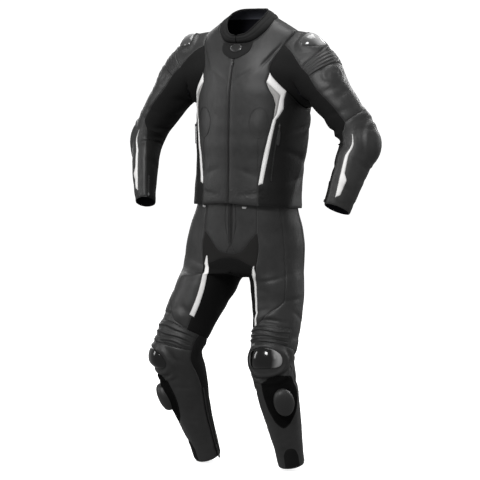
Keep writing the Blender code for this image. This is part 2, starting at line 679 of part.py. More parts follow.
JACKET_FRONT = patch(
    ZIP_LINE,
    chain(FRONT_LOW, INSERT_INNER, WEDGE_INNER, BAND_TIP, ARMHOLE_FRONT, SHOULDER_SEAM),
    HEM_FRONT,
    NECK_FRONT,
)
WHITE_INSERT = (
    patch(INSERT_INNER, INSERT_OUTER, INSERT_FOOT, WHITE_FOOT),
    patch(WEDGE_OUTER, WHITE_OUTER, WHITE_FOOT, BAND_FOOT),
    patch(BAND_INNER, ARMHOLE_WHITE[::-1], BAND_FOOT, BAND_TIP),
)
WEDGE = patch(WEDGE_INNER, chain(WEDGE_OUTER, BAND_INNER), WEDGE_FOOT, WEDGE_TIP)
JACKET_SIDE = patch(
    chain(FRONT_LOW, INSERT_FOOT, INSERT_OUTER, WHITE_OUTER), SIDE_SEAM, HEM_SIDE, ARMHOLE_SIDE
)
BACK_EDGE = chain(SIDE_SEAM, ARMHOLE_BACK, SHOULDER_SEAM)
JACKET_BACK = patch(BACK_EDGE, other_side(BACK_EDGE), HEM_BACK, NECK_BACK)
FRONT_ZIP = patch(
    mirrored(ZIP_LINE),
    ZIP_LINE,
    level(-ZIP_EDGE, ZIP_EDGE, ZIP_LINE[0, 1], 1),
    level(-ZIP_EDGE, ZIP_EDGE, ZIP_LINE[-1, 1], 1),
)
NECK_RING = np.concatenate([NECK_FRONT, NECK_BACK[1:], other_side(NECK_FRONT)[::-1][1:]])[:, 0]
COLLAR = np.stack([np.column_stack([NECK_RING, np.full(len(NECK_RING), rise)]) for rise in (0, 0.35, 0.7, 1.0)])

# Sleeve seams. Leather covers the shoulder, the outer arm and the forearm, and stretch cloth the rest.
CAP_END = 0.100
RIB_END = 0.134
UPPER_END = 0.300
CUFF = 0.590
CAP_FRONT = line(3, (30, 0), (13, 0.058), (4, CAP_END))
RIB_FRONT = line(1, (4, CAP_END), (3, RIB_END))
UPPER_FRONT = line(4, (3, RIB_END), (-3, 0.172), (-6, 0.250), (-16, UPPER_END))
FORE_FRONT = line(8, (-16, UPPER_END), (-50, 0.338), (-77, 0.430), (-80, 0.530), (-80, CUFF))
CAP_BACK = line(3, (165, 0), (165, CAP_END))
RIB_BACK = line(1, (165, CAP_END), (165, RIB_END))
UPPER_BACK = line(4, (165, RIB_END), (160, UPPER_END))
FORE_BACK = line(8, (160, UPPER_END), (176, 0.345), (195, 0.430), (200, CUFF))
FRONT_EDGE = chain(CAP_FRONT, RIB_FRONT, UPPER_FRONT, FORE_FRONT)
STRETCH_BACK = chain(CAP_BACK, RIB_BACK, UPPER_BACK, FORE_BACK)
SLEEVE_CAP = patch(CAP_FRONT, CAP_BACK, level(30, 165, 0, 9), level(4, 165, CAP_END, 9))
UPPER_ARM = patch(UPPER_FRONT, UPPER_BACK, level(3, 165, RIB_END, 9), level(-16, 160, UPPER_END, 9))
FOREARM = patch(FORE_FRONT, FORE_BACK, level(-16, 160, UPPER_END, 12), level(-80, 200, CUFF, 12))
SLEEVE_STRETCH = patch(STRETCH_BACK, FRONT_EDGE + (360, 0), level(165, 390, 0, 15), level(200, 280, CUFF, 15))
SLEEVE_RIBS = 5
SLEEVE_RIB = patch(
    line(2 * SLEEVE_RIBS, (4, CAP_END), (3, RIB_END)),
    line(2 * SLEEVE_RIBS, (165, CAP_END), (165, RIB_END)),
    level(4, 165, CAP_END, 9),
    level(3, 165, RIB_END, 9),
)

# Trouser seams. Each half runs from centre front round the outer side to centre back.
WAIST = 0.880
KNEE_TOP = 0.430
KNEE_LOW = 0.378
HEM = 0.005
RIB_FIRST = -105
RIB_LAST = 60
SHIN_BACK = 105
INNER_KNEE = {LEFT: -45, RIGHT: -75}
FLY_EDGE = line(3, (-12, 0.746), (-11, 0.810), (-8, WAIST))
WING_EDGE = line(3, (-14, LOOP), (-9, 0.712), (-12, 0.746))
FLY_FOOT = line(4, (CENTRE_FRONT, 0.702), (-42, 0.708), (-27, 0.728), (-12, 0.746))
THIGH_SIDE = line(12, (36, 0.511), (41, 0.589), (49, LOOP), (49, 0.750), (47, WAIST))
SIDE_BACK = line(12, (105, 0.511), (110, LOOP), (110, WAIST))
SEAT_CENTRE = line(9, (CENTRE_BACK, LOOP), (CENTRE_BACK, WAIST))
INNER_BACK = line(6, (225, KNEE_TOP), (232, 0.540), (CENTRE_BACK, LOOP))
FLY_CENTRE = line(3, (CENTRE_FRONT, 0.702), (CENTRE_FRONT, WAIST))
WING_CENTRE = line(3, (CENTRE_FRONT, LOOP), (CENTRE_FRONT, 0.702))
FLY = patch(FLY_CENTRE, FLY_EDGE, FLY_FOOT, level(CENTRE_FRONT, -8, WAIST, 4))
WING = patch(WING_CENTRE, WING_EDGE, level(CENTRE_FRONT, -14, LOOP, 4), FLY_FOOT)
CROTCH_RING = chain(level(-120, CENTRE_FRONT, LOOP, 3), level(CENTRE_FRONT, -14, LOOP, 4))
SEAT = patch(
    chain(line(3, (105, KNEE_TOP), (105, 0.511)), SIDE_BACK),
    chain(INNER_BACK, SEAT_CENTRE),
    level(105, 225, KNEE_TOP, 6),
    level(110, CENTRE_BACK, WAIST, 6),
)


def thigh_patches(side):
    """The patches round the thigh, whose inner seam ends at another angle on each knee."""
    knee = INNER_KNEE[side]
    inner = line(6, (knee, KNEE_TOP), (0.5 * knee - 12, 0.540), (-24, 0.620), (-14, LOOP))
    slant = line(6, (knee, KNEE_TOP), (-17, 0.449), (1, 0.471), (24, 0.493), (36, 0.511))
    across = level(36, 105, 0.511, 4)
    over_knee = chain(level(knee, RIB_LAST, KNEE_TOP, 7), level(RIB_LAST, SHIN_BACK, KNEE_TOP, 3))
    front = patch(chain(inner, WING_EDGE, FLY_EDGE), THIGH_SIDE, slant, level(-8, 47, WAIST, 6))
    outer = patch(THIGH_SIDE, SIDE_BACK, across, level(47, 110, WAIST, 4))
    lower = patch(
        line(3, (knee, KNEE_TOP), (knee, KNEE_TOP)),
        line(3, (SHIN_BACK, KNEE_TOP), (105, 0.511)),
        over_knee,
        chain(slant, across),
    )
    beside = patch(
        line(2, (RIB_LAST, KNEE_LOW), (RIB_LAST, KNEE_TOP)),
        line(2, (SHIN_BACK, KNEE_LOW), (SHIN_BACK, KNEE_TOP)),
        level(RIB_LAST, SHIN_BACK, KNEE_LOW, 3),
        level(RIB_LAST, SHIN_BACK, KNEE_TOP, 3),
    )
    inside = patch(INNER_BACK - (360, 0), inner, level(-135, knee, KNEE_TOP, 7), CROTCH_RING)
    return front, (outer, lower, beside), inside


KNEE_RIBS = 7
KNEE_RIB = patch(
    line(2 * KNEE_RIBS, (RIB_FIRST, KNEE_LOW), (RIB_FIRST, KNEE_TOP)),
    line(2 * KNEE_RIBS, (RIB_LAST, KNEE_LOW), (RIB_LAST, KNEE_TOP)),
    level(RIB_FIRST, RIB_LAST, KNEE_LOW, 9),
    level(RIB_FIRST, RIB_LAST, KNEE_TOP, 9),
)


def shin_edge(angle):
    """The shin is divided more finely under the knee."""
    return chain(line(6, (angle, HEM), (angle, 0.250)), line(7, (angle, 0.250), (angle, KNEE_LOW)))


SHIN = patch(
    shin_edge(-105), shin_edge(SHIN_BACK), level(-105, SHIN_BACK, HEM, 12), level(-105, SHIN_BACK, KNEE_LOW, 12)
)
CALF_INNER = chain(shin_edge(255), line(2, (255, KNEE_LOW), (255, KNEE_TOP)))
CALF_OUTER = chain(shin_edge(SHIN_BACK), line(2, (SHIN_BACK, KNEE_LOW), (SHIN_BACK, KNEE_TOP)))
CALF = patch(CALF_OUTER, CALF_INNER, level(SHIN_BACK, 255, HEM, 7), level(SHIN_BACK, 255, KNEE_TOP, 7))


def both_halves(grid_of):
    """One piece that crosses the middle of the trousers."""
    return Sheet(*((forms(side)["trousers"], grid_of(side)) for _, side in SIDES))


def build_cloth(ground):
    """All walls of cloth. Neighbours share their seams, so their normals are settled together."""
    left = forms(LEFT)
    cloth = [
        ("jacket_back", Sheet((left["trunk"], JACKET_BACK)), "leather", LEATHER),
        ("collar", Sheet((left["collar"], COLLAR)), "neoprene", LEATHER),
        ("front_zip", Sheet((left["trunk"], FRONT_ZIP)), "zip", STRETCH),
        ("inner_thighs", both_halves(lambda side: thigh_patches(side)[2]), "stretch", STRETCH),
        ("fly_front", both_halves(lambda side: FLY), "leather", LEATHER),
        ("crotch_gusset", both_halves(lambda side: WING), "stretch", STRETCH),
    ]
    for mark, side in SIDES:
        on = forms(side)
        front, outer, _ = thigh_patches(side)
        pieces = (
            ("jacket_front", [(on["trunk"], JACKET_FRONT)], "leather", LEATHER),
            ("chest_insert", [(on["trunk"], grid) for grid in WHITE_INSERT], "white", LEATHER),
            ("chest_wedge", [(on["trunk"], WEDGE)], "grey", LEATHER),
            ("jacket_side", [(on["trunk"], JACKET_SIDE)], "leather", LEATHER),
            ("sleeve_cap", [(on["sleeve"], SLEEVE_CAP)], "leather", LEATHER),
            ("sleeve_rib", [(on["sleeve"], SLEEVE_RIB)], "rib", LEATHER),
            ("upper_arm", [(on["sleeve"], UPPER_ARM)], "leather", LEATHER),
            ("forearm", [(on["sleeve"], FOREARM)], "leather", LEATHER),
            ("sleeve_stretch", [(on["sleeve"], SLEEVE_STRETCH)], "stretch", STRETCH),
            ("thigh_front", [(on["trousers"], front)], "leather", LEATHER),
            ("thigh_side", [(on["trousers"], grid) for grid in outer], "leather", LEATHER),
            ("seat", [(on["trousers"], SEAT)], "leather", LEATHER),
            ("knee_rib", [(on["trousers"], KNEE_RIB)], "rib", LEATHER),
            ("shin", [(on["trousers"], SHIN)], "leather", LEATHER),
            ("calf", [(on["trousers"], CALF)], "stretch", STRETCH),
        )
        cloth += [(f"{name}_{mark}", Sheet(*parts), finish, wall) for name, parts, finish, wall in pieces]
    crowns = {
        "sleeve_rib": ribs(4, 165, SLEEVE_RIBS, CAP_END, RIB_END, 0.0022),
        "knee_rib": ribs(RIB_FIRST, RIB_LAST, KNEE_RIBS, KNEE_LOW, KNEE_TOP, 0.0026),
    }
    sheets = [sheet for _, sheet, _, _ in cloth]
    share_normals(sheets)
    settle_on_neighbours(sheets)
    for name, sheet, finish, wall in cloth:
        sheet.draw_in(SEAM_GAP / 2)
        add_wall(name, sheet, finish, wall, crown=crowns.get(name[:-2]), ground=ground)


def strip(rows, *points, half_width):
    """A narrow band along a line of places, half_width degrees to each side."""
    middle = line(rows, *points)
    return patch(
        middle - (half_width, 0), middle + (half_width, 0), middle[0] + corners((-half_width, 0), (half_width, 0)),
        middle[-1] + corners((-half_width, 0), (half_width, 0)),
    )


# Trims. Each lies TRIM_GAP above the cloth that carries it.
SLIDER = (69, 0.070, 31, 0.021)
SLIDER_LEAN = 0.011
KNEE_CAP = (0, 0.343, 46, 0.021)
PUCK = (26, 0.228, 31, 0.044)
SHELL = 0.0022
PUCK_WALL = 0.012
PUCK_RISE = 0.010
POCKET = ((48, 0.904), (55, 1.078))
ZIP_SLIDER = 0.012
SLIDER_RISE = 0.0020
CALF_ZIP = ((250, 0.028), (252, 0.240))
CUFF_ZIP = ((-92, 0.500), (-90, 0.582))
FLY_ZIP = ((0, 0.724), (0, 0.872))
POCKET_PULL = (0.064, 0.0075)
CALF_PULL = (0.036, 0.0065)
PULL_WALL = 0.0022
PULL_TOP = 0.0006
PULL_STAND = PULL_WALL / 2 + 0.0007
FOOT_STAND = PULL_STAND + SLIDER_RISE + 0.0010

THROAT = patch(
    line(3, (-4, 1.279), (-11, 1.296), (-15.5, 1.326)),
    line(3, (4, 1.279), (11, 1.296), (15.5, 1.326)),
    level(-4, 4, 1.279, 4),
    line(4, (-15.5, 1.326), (0, 1.319), (15.5, 1.326)),
)
VELCRO = patch(
    line(5, (-12, 0.163), (-23, 0.210), (-28, 0.260), (-29, 0.295)),
    line(5, (30, 0.150), (62, 0.192), (79, 0.239), (71, 0.308)),
    line(8, (-12, 0.163), (10, 0.146), (30, 0.150)),
    line(8, (-29, 0.295), (-4, 0.307), (71, 0.308)),
)
FOREARM_STRIPE = patch(
    line(8, (-18, 0.347), (-39, 0.422), (-38, 0.452), (-36, 0.491), (-31, 0.545)),
    line(8, (-17, 0.352), (-29, 0.420), (-21, 0.474), (-9, 0.487), (-15, 0.533)),
    level(-18, -17, 0.347, 1),
    line(1, (-31, 0.545), (-15, 0.533)),
)
THIGH_STRIPE = {
    LEFT: patch(
        line(10, (-45, 0.433), (-35, 0.540), (-24, 0.640), (-19, 0.668)),
        line(10, (-37, 0.433), (-28, 0.540), (-17, 0.640), (-17, 0.668)),
        level(-45, -37, 0.433, 1),
        level(-19, -17, 0.668, 1),
    ),
    RIGHT: patch(
        line(10, (-71, 0.468), (-54, 0.540), (-31.5, 0.640), (-24, 0.672)),
        line(10, (-59, 0.468), (-43, 0.540), (-25, 0.640), (-20, 0.672)),
        level(-71, -59, 0.468, 1),
        level(-24, -20, 0.672, 1),
    ),
}


def add_pull(name, form, ground, angle, station, size):
    """A zip pull: a tapered plate that hangs from the slider along the cloth. Its origin is on its hinge."""
    length, width = size
    top, out = form.place(angle, station)
    foot, foot_out = form.place(angle, station - length)
    top = top + out * (PULL_STAND - ground.depth(top, out))
    foot = foot + foot_out * (FOOT_STAND - ground.depth(foot, foot_out))
    down = unit(foot - top)
    aside = unit(np.cross(down, out))
    out = np.cross(aside, down)
    mesh = bmesh.new()
    bmesh.ops.create_cube(mesh, size=1.0, matrix=Matrix.Diagonal((width, PULL_WALL, length, 1.0)))
    for corner in mesh.verts:
        if corner.co.z < 0:
            corner.co.x *= 1.25
        corner.co.z -= length / 2 - PULL_TOP
    upright = [edge for edge in mesh.edges if abs(edge.verts[0].co.y - edge.verts[1].co.y) > PULL_WALL / 2]
    bmesh.ops.bevel(mesh, geom=upright, offset=width * 0.3, segments=1, affect="EDGES")
    data = bpy.data.meshes.new(name)
    mesh.to_mesh(data)
    mesh.free()
    pull = add_object(name, data, "rubber")
    turn = Matrix([[*row] for row in np.column_stack([aside, out, -down])])
    pull.matrix_world = Matrix.Translation(Vector(top)) @ turn.to_4x4()


def build_trims(ground):
    """Stripes, zips, the knee's hook panel, and the hard sliders and pulls. Later ones may lie on earlier ones."""
    trunk = forms(LEFT)["trunk"]
    pieces = [
        ("throat_patch", trunk, THROAT, "neoprene", TRIM, None),
        ("fly_zip", forms(LEFT)["hips"], strip(6, *FLY_ZIP, half_width=2.4), "zip", TRIM, None),
    ]
    pocket_top, calf_foot = POCKET[1][1], CALF_ZIP[0][1]
    for mark, side in SIDES:
        on = forms(side)
        pocket = strip(5, *POCKET, half_width=1.1)
        pocket[-2, :, 1] = pocket_top - ZIP_SLIDER
        pocket_slider = slider_bump(pocket_top - 1.01 * ZIP_SLIDER, 2, SLIDER_RISE)
        calf = strip(6, *CALF_ZIP, half_width=3.2)
        calf[1, :, 1] = calf_foot + ZIP_SLIDER
        calf_slider = slider_bump(0, calf_foot + 1.01 * ZIP_SLIDER, SLIDER_RISE)
        slider, cap, puck = oval(*SLIDER, 6, 5, SLIDER_LEAN), oval(*KNEE_CAP, 8, 5), oval(*PUCK, 6, 6)
        pieces += [
            (f"forearm_stripe_{mark}", on["sleeve"], FOREARM_STRIPE, "white", TRIM, None),
            (f"thigh_stripe_{mark}", on["trousers"], THIGH_STRIPE[side], "white", TRIM, None),
            (f"pocket_zip_{mark}", on["trunk"], pocket, "zip", TRIM, pocket_slider),
            (f"calf_zip_{mark}", on["trousers"], calf, "zip", TRIM, calf_slider),
            (f"cuff_zip_{mark}", on["sleeve"], strip(3, *CUFF_ZIP, half_width=5), "zip", TRIM, None),
            (f"knee_panel_{mark}", on["trousers"], VELCRO, "velcro", TRIM, None),
            (f"shoulder_slider_{mark}", on["sleeve"], slider, "hard", SHELL, dome(*SLIDER, 0.006, SLIDER_LEAN)),
            (f"knee_cap_{mark}", on["trousers"], cap, "hard", SHELL, dome(*KNEE_CAP, 0.008)),
            (f"knee_puck_{mark}", on["trousers"], puck, "rubber", PUCK_WALL, dome(*PUCK, PUCK_RISE)),
        ]
    for name, form, grid, finish, thickness, crown in pieces:
        sheet = Sheet((form, grid))
        ground.seat(sheet)
        add_wall(name, sheet, finish, thickness, TRIM_GAP, crown, ground)
    for mark, side in SIDES:
        on = forms(side)
        add_pull(f"pocket_pull_{mark}", on["trunk"], ground, POCKET[1][0], pocket_top - 0.004, POCKET_PULL)
        add_pull(f"calf_pull_{mark}", on["trousers"], ground, CALF_ZIP[0][0], calf_foot + 0.006, CALF_PULL)


ground = Ground()
build_cloth(ground)
build_trims(ground)
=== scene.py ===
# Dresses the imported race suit: cloth shells with their creases, stitching, zips, armour, stage and camera.
# Metres, +Z up. The front faces -Y, the wearer's left is +X, and the shoulders hold the suit at the origin.
import json
import math

import bmesh
import bpy
import numpy as np
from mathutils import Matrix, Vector
from mathutils.bvhtree import BVHTree
from mathutils.kdtree import KDTree


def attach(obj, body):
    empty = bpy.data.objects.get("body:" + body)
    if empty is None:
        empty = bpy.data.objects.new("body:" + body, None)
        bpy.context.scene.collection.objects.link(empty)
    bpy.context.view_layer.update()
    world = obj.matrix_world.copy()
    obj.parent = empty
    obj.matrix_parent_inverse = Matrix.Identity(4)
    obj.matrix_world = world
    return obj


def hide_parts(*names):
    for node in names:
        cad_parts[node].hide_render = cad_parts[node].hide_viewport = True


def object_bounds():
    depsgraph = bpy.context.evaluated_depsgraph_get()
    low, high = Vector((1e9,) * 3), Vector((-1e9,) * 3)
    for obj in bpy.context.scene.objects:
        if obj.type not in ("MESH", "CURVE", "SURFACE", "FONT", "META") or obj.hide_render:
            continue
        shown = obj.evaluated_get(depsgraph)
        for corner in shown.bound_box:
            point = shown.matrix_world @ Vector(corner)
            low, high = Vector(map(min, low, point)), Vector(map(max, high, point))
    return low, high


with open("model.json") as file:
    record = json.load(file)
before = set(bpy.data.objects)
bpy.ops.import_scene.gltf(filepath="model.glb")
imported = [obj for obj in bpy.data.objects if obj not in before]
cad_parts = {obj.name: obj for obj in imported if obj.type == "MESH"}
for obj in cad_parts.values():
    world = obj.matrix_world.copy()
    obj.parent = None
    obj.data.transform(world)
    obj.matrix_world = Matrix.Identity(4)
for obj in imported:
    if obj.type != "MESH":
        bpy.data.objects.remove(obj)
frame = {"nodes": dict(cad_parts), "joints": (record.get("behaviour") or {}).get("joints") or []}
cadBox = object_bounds()
print("frame loaded")

fine = 6  # every step of a seam is divided into so many
shoulderHeight = 1.365
angleLength = 0.002
leftSide, rightSide = 1.0, -1.0
sides = (("L", leftSide), ("R", rightSide))

# Sections. Columns: station, x, y, height, turn, front, back, outer, inner, power.
# x, y and height are the section's centre, turn swings its front outwards, and the next four are its half sizes.
trunkRows = (
    (0.780, 0, -0.021, 0.780, 0, 0.118, 0.116, 0.181, 0.181, 2.4),
    (0.860, 0, -0.017, 0.860, 0, 0.122, 0.115, 0.176, 0.176, 2.4),
    (0.940, 0, -0.008, 0.940, 0, 0.128, 0.118, 0.172, 0.172, 2.4),
    (1.030, 0, 0.005, 1.030, 0, 0.141, 0.130, 0.176, 0.176, 2.4),
    (1.107, 0, 0.016, 1.107, 0, 0.149, 0.138, 0.183, 0.183, 2.3),
    (1.180, 0, 0.018, 1.180, 0, 0.146, 0.138, 0.188, 0.188, 2.2),
    (1.240, 0, 0.020, 1.240, 0, 0.136, 0.128, 0.190, 0.190, 2.1),
    (1.290, 0, 0.020, 1.290, 0, 0.121, 0.112, 0.188, 0.188, 2.0),
    (1.330, 0, 0.020, 1.330, 0, 0.102, 0.092, 0.180, 0.180, 2.0),
    (1.360, 0, 0.018, 1.360, 0, 0.083, 0.078, 0.160, 0.160, 2.0),
    (1.385, 0, 0.014, 1.385, 0, 0.074, 0.071, 0.120, 0.120, 2.0),
    (1.405, 0, 0.008, 1.405, 0, 0.070, 0.068, 0.086, 0.086, 2.0),
    (1.440, 0, 0.004, 1.440, 0, 0.068, 0.066, 0.078, 0.078, 2.0),
)
sleeveRows = (
    (0.000, 0.140, 0.010, 1.262, 0, 0.100, 0.105, 0.100, 0.125, 2.0),
    (0.050, 0.186, 0.006, 1.257, 0, 0.092, 0.098, 0.097, 0.110, 2.0),
    (0.100, 0.228, 0.001, 1.234, 0, 0.082, 0.086, 0.086, 0.090, 2.0),
    (0.170, 0.276, -0.004, 1.182, 5, 0.070, 0.072, 0.071, 0.070, 2.0),
    (0.260, 0.331, -0.005, 1.112, 20, 0.058, 0.060, 0.065, 0.060, 2.0),
    (0.330, 0.372, -0.001, 1.057, 35, 0.051, 0.053, 0.064, 0.058, 2.0),
    (0.375, 0.387, -0.008, 1.012, 40, 0.048, 0.050, 0.065, 0.058, 2.0),
    (0.425, 0.381, -0.029, 0.965, 40, 0.043, 0.045, 0.059, 0.055, 2.0),
    (0.480, 0.371, -0.048, 0.910, 40, 0.039, 0.041, 0.052, 0.050, 2.0),
    (0.545, 0.359, -0.066, 0.850, 40, 0.033, 0.035, 0.045, 0.045, 2.0),
    (0.590, 0.351, -0.076, 0.815, 40, 0.031, 0.033, 0.042, 0.042, 2.0),
)
hipRows = (
    (0.880, 0, -0.017, 0.880, 0, 0.103, 0.100, 0.157, 0.1586, 2.4),
    (0.815, 0, -0.015, 0.815, 0, 0.107, 0.103, 0.163, 0.1705, 2.4),
    (0.740, 0, -0.008, 0.740, 0, 0.114, 0.120, 0.170, 0.194, 2.3),
    (0.660, 0, -0.006, 0.660, 0, 0.118, 0.126, 0.174, 0.216, 2.2),
    (0.600, 0, -0.006, 0.600, 0, 0.116, 0.122, 0.172, 0.222, 2.2),
)
leftLegRows = (
    (0.660, 0.088, 0.000, 0.660, 6, 0.112, 0.120, 0.086, 0.084, 2.1),
    (0.580, 0.096, -0.005, 0.580, 12, 0.100, 0.106, 0.087, 0.080, 2.1),
    (0.512, 0.104, -0.013, 0.512, 14, 0.090, 0.094, 0.081, 0.076, 2.1),
    (0.450, 0.111, -0.029, 0.450, 14, 0.080, 0.082, 0.076, 0.072, 2.1),
    (0.395, 0.115, -0.047, 0.395, 11, 0.074, 0.074, 0.072, 0.069, 2.1),
    (0.344, 0.117, -0.064, 0.344, 11, 0.071, 0.068, 0.069, 0.066, 2.1),
    (0.288, 0.121, -0.056, 0.288, 16, 0.069, 0.070, 0.067, 0.064, 2.1),
    (0.232, 0.125, -0.044, 0.232, 20, 0.064, 0.070, 0.066, 0.062, 2.1),
    (0.177, 0.128, -0.028, 0.177, 20, 0.057, 0.064, 0.061, 0.057, 2.1),
    (0.121, 0.130, -0.010, 0.121, 20, 0.051, 0.057, 0.055, 0.051, 2.1),
    (0.065, 0.131, 0.010, 0.065, 20, 0.045, 0.050, 0.047, 0.045, 2.1),
    (0.005, 0.131, 0.028, 0.005, 20, 0.041, 0.045, 0.043, 0.041, 2.1),
)
rightLegRows = (
    (0.660, 0.105, -0.010, 0.660, 8, 0.112, 0.118, 0.088, 0.084, 2.1),
    (0.580, 0.126, -0.046, 0.580, 15, 0.098, 0.102, 0.086, 0.082, 2.1),
    (0.515, 0.148, -0.080, 0.515, 22, 0.087, 0.088, 0.080, 0.076, 2.1),
    (0.455, 0.169, -0.107, 0.455, 32, 0.078, 0.078, 0.075, 0.073, 2.1),
    (0.405, 0.184, -0.124, 0.405, 40, 0.073, 0.070, 0.072, 0.070, 2.1),
    (0.355, 0.193, -0.129, 0.355, 42, 0.073, 0.067, 0.072, 0.069, 2.1),
    (0.290, 0.193, -0.110, 0.290, 32, 0.069, 0.068, 0.069, 0.066, 2.1),
    (0.232, 0.189, -0.090, 0.232, 25, 0.063, 0.068, 0.067, 0.063, 2.1),
    (0.177, 0.184, -0.066, 0.177, 25, 0.056, 0.063, 0.060, 0.056, 2.1),
    (0.121, 0.180, -0.042, 0.121, 25, 0.050, 0.057, 0.053, 0.050, 2.1),
    (0.065, 0.175, -0.014, 0.065, 25, 0.044, 0.049, 0.046, 0.044, 2.1),
    (0.005, 0.171, 0.010, 0.005, 25, 0.041, 0.045, 0.043, 0.041, 2.1),
)

# Where a sleeve leaves the trunk. Columns: sleeve angle, trunk angle, trunk height.
armholeRows = (
    (-120, 110, 1.134),
    (-90, 90, 1.128),
    (-60, 60, 1.178),
    (-30, 39, 1.235),
    (0, 43, 1.282),
    (40, 58, 1.332),
    (90, 90, 1.364),
    (135, 115, 1.333),
    (180, 130, 1.262),
    (210, 126, 1.190),
)
armBlend = 0.20
armUpright = 0.16
sideways = (1.0, 0, 0)

# The neck seam, and the collar's top rim. Columns: trunk angle, height.
neckRows = ((0, 1.324), (17, 1.334), (28, 1.356), (46, 1.380), (68, 1.396), (90, 1.402), (130, 1.404), (180, 1.404))
collarTopRows = ((0, 1.348), (30, 1.357), (60, 1.386), (90, 1.412), (120, 1.428), (180, 1.434))
collarHalfWidth = 0.063
collarHalfDepth = 0.067
collarMiddle = -0.022
collarBelly = 0.004

# A leg leaves the hips at loopHeight. On its ring the front and back centre seams stand at these angles,
# and the crotch hangs between them.
loopHeight = 0.660
centreFront = -60
centreBack = 240
crotchDrop = 0.040
crotchSag = 0.022
legBlend = 0.13
legBlendLoss = 0.035
levelBlend = 0.16

# Raised pads and bulges. Columns: angle, station, half angle, half length, height.
sleevePads = (
    (60, 0.062, 42, 0.036, 0.006),
    (55, 0.160, 30, 0.022, 0.004),
    (52, 0.372, 62, 0.052, 0.011),
)
legPads = ((0, 0.348, 62, 0.056, 0.009), (24, 0.235, 60, 0.085, 0.003))
trunkPads = ((30, 1.081, 12, 0.046, 0.002),)

# Largest folds. Columns: angle, station, half angle, half length, lean, height.
# A fold runs round the form for its half angle; lean is its rise in metres over that half angle.
sleeveFolds = (
    (62, 0.312, 40, 0.008, 0.006, 0.0035),
    (58, 0.331, 46, 0.008, -0.004, 0.0030),
    (-100, 0.345, 55, 0.012, 0.012, -0.0060),
    (-120, 0.375, 48, 0.010, -0.010, -0.0050),
    (-80, 0.315, 45, 0.012, 0.014, 0.0040),
    (-95, 0.235, 50, 0.016, 0.024, -0.0040),
    (-60, 0.085, 48, 0.016, 0.030, -0.0050),
    (-75, 0.130, 44, 0.016, 0.026, 0.0035),
    (190, 0.100, 40, 0.016, -0.022, -0.0040),
    (10, 0.562, 70, 0.009, 0.006, -0.0020),
)
legFolds = (
    (-20, 0.458, 52, 0.009, 0.010, 0.0045),
    (10, 0.437, 60, 0.008, -0.006, -0.0035),
    (180, 0.372, 60, 0.012, 0.014, -0.0060),
    (170, 0.340, 52, 0.012, -0.010, -0.0060),
    (190, 0.405, 50, 0.012, 0.016, 0.0045),
    (-95, 0.560, 46, 0.016, 0.030, -0.0045),
    (-100, 0.510, 44, 0.014, 0.026, 0.0035),
    (200, 0.600, 50, 0.016, -0.020, -0.0050),
    (-30, 0.296, 50, 0.008, 0.008, -0.0025),
    (150, 0.080, 60, 0.010, 0.012, -0.0030),
)
trunkFolds = (
    (112, 1.050, 26, 0.014, 0.030, -0.0035),
    (104, 0.960, 30, 0.013, -0.022, -0.0030),
    (150, 0.905, 30, 0.012, 0.016, 0.0025),
    (58, 1.300, 20, 0.012, 0.040, -0.0030),
)


# every column of a table on a smooth curve through its rows, and the curve's slope
def smooth(rows, at):
    rows = np.array(rows, float)
    if rows[0, 0] > rows[-1, 0]:
        rows = rows[::-1]
    key = rows[:, 0]
    slopes = np.gradient(rows, key, axis=0)
    asked = np.asarray(at, float)
    at = np.clip(asked, key[0], key[-1])
    k = np.clip(np.searchsorted(key, at, side="right") - 1, 0, len(key) - 2)
    step = (key[k + 1] - key[k])[..., None]
    t = (at - key[k])[..., None] / step
    low, high = rows[k], rows[k + 1]
    lowSlope, highSlope = slopes[k] * step, slopes[k + 1] * step
    rise = 3 * t**2 - 2 * t**3
    value = low + (high - low) * rise + (t**3 - 2 * t**2 + t) * lowSlope + (t**3 - t**2) * highSlope
    bend = (3 * t**2 - 4 * t + 1) * lowSlope + (3 * t**2 - 2 * t) * highSlope
    slope = ((6 * t - 6 * t**2) * (high - low) + bend) / step
    return value + slope * (asked - at)[..., None], slope


# the same on a table that closes on itself after 360 degrees
def smoothLoop(rows, angle):
    rows = np.array(rows, float)
    turn = np.zeros(rows.shape[1])
    turn[0] = 360
    wrapped = np.concatenate([rows[-3:] - turn, rows, rows[:3] + turn])
    angle = (np.asarray(angle, float) - rows[0, 0]) % 360 + rows[0, 0]
    return smooth(wrapped, angle)[0]


def unit(v):
    return v / np.linalg.norm(v, axis=-1, keepdims=True)


# 1 at 0 and 0 at 1, smoothly
def fade(t):
    t = np.clip(t, 0, 1)
    return 1 - t * t * (3 - 2 * t)


# points of a tube of unlike sections: square to its own line at level 0, to the axis at level 1
def section(table, angle, station, level, axis=(0, 0, -1.0)):
    value, slope = smooth(table, station)
    _, x, y, height, turn, front, back, outer, inner, power = np.moveaxis(value, -1, 0)
    down = slope[..., 1:4] * np.where(slope[..., 3:4] > 0, -1.0, 1.0)
    down = unit(down)
    down = unit(down + (np.array(axis) - down) * np.asarray(level, float)[..., None])
    ahead = unit(np.array([0, -1.0, 0]) + down * down[..., 1:2])
    aside = np.cross(ahead, down)
    c, s = np.cos(np.radians(turn))[..., None], np.sin(np.radians(turn))[..., None]
    ahead, aside = ahead * c + aside * s, aside * c - ahead * s
    c, s = np.cos(np.radians(angle)), np.sin(np.radians(angle))
    along = np.sign(c) * np.abs(c) ** (2 / power) * np.where(c > 0, front, back)
    across = np.sign(s) * np.abs(s) ** (2 / power) * np.where(s > 0, outer, inner)
    return np.stack([x, y, height], -1) + ahead * along[..., None] + aside * across[..., None]


def trunkPoint(angle, height):
    return section(trunkRows, angle, height, 1)


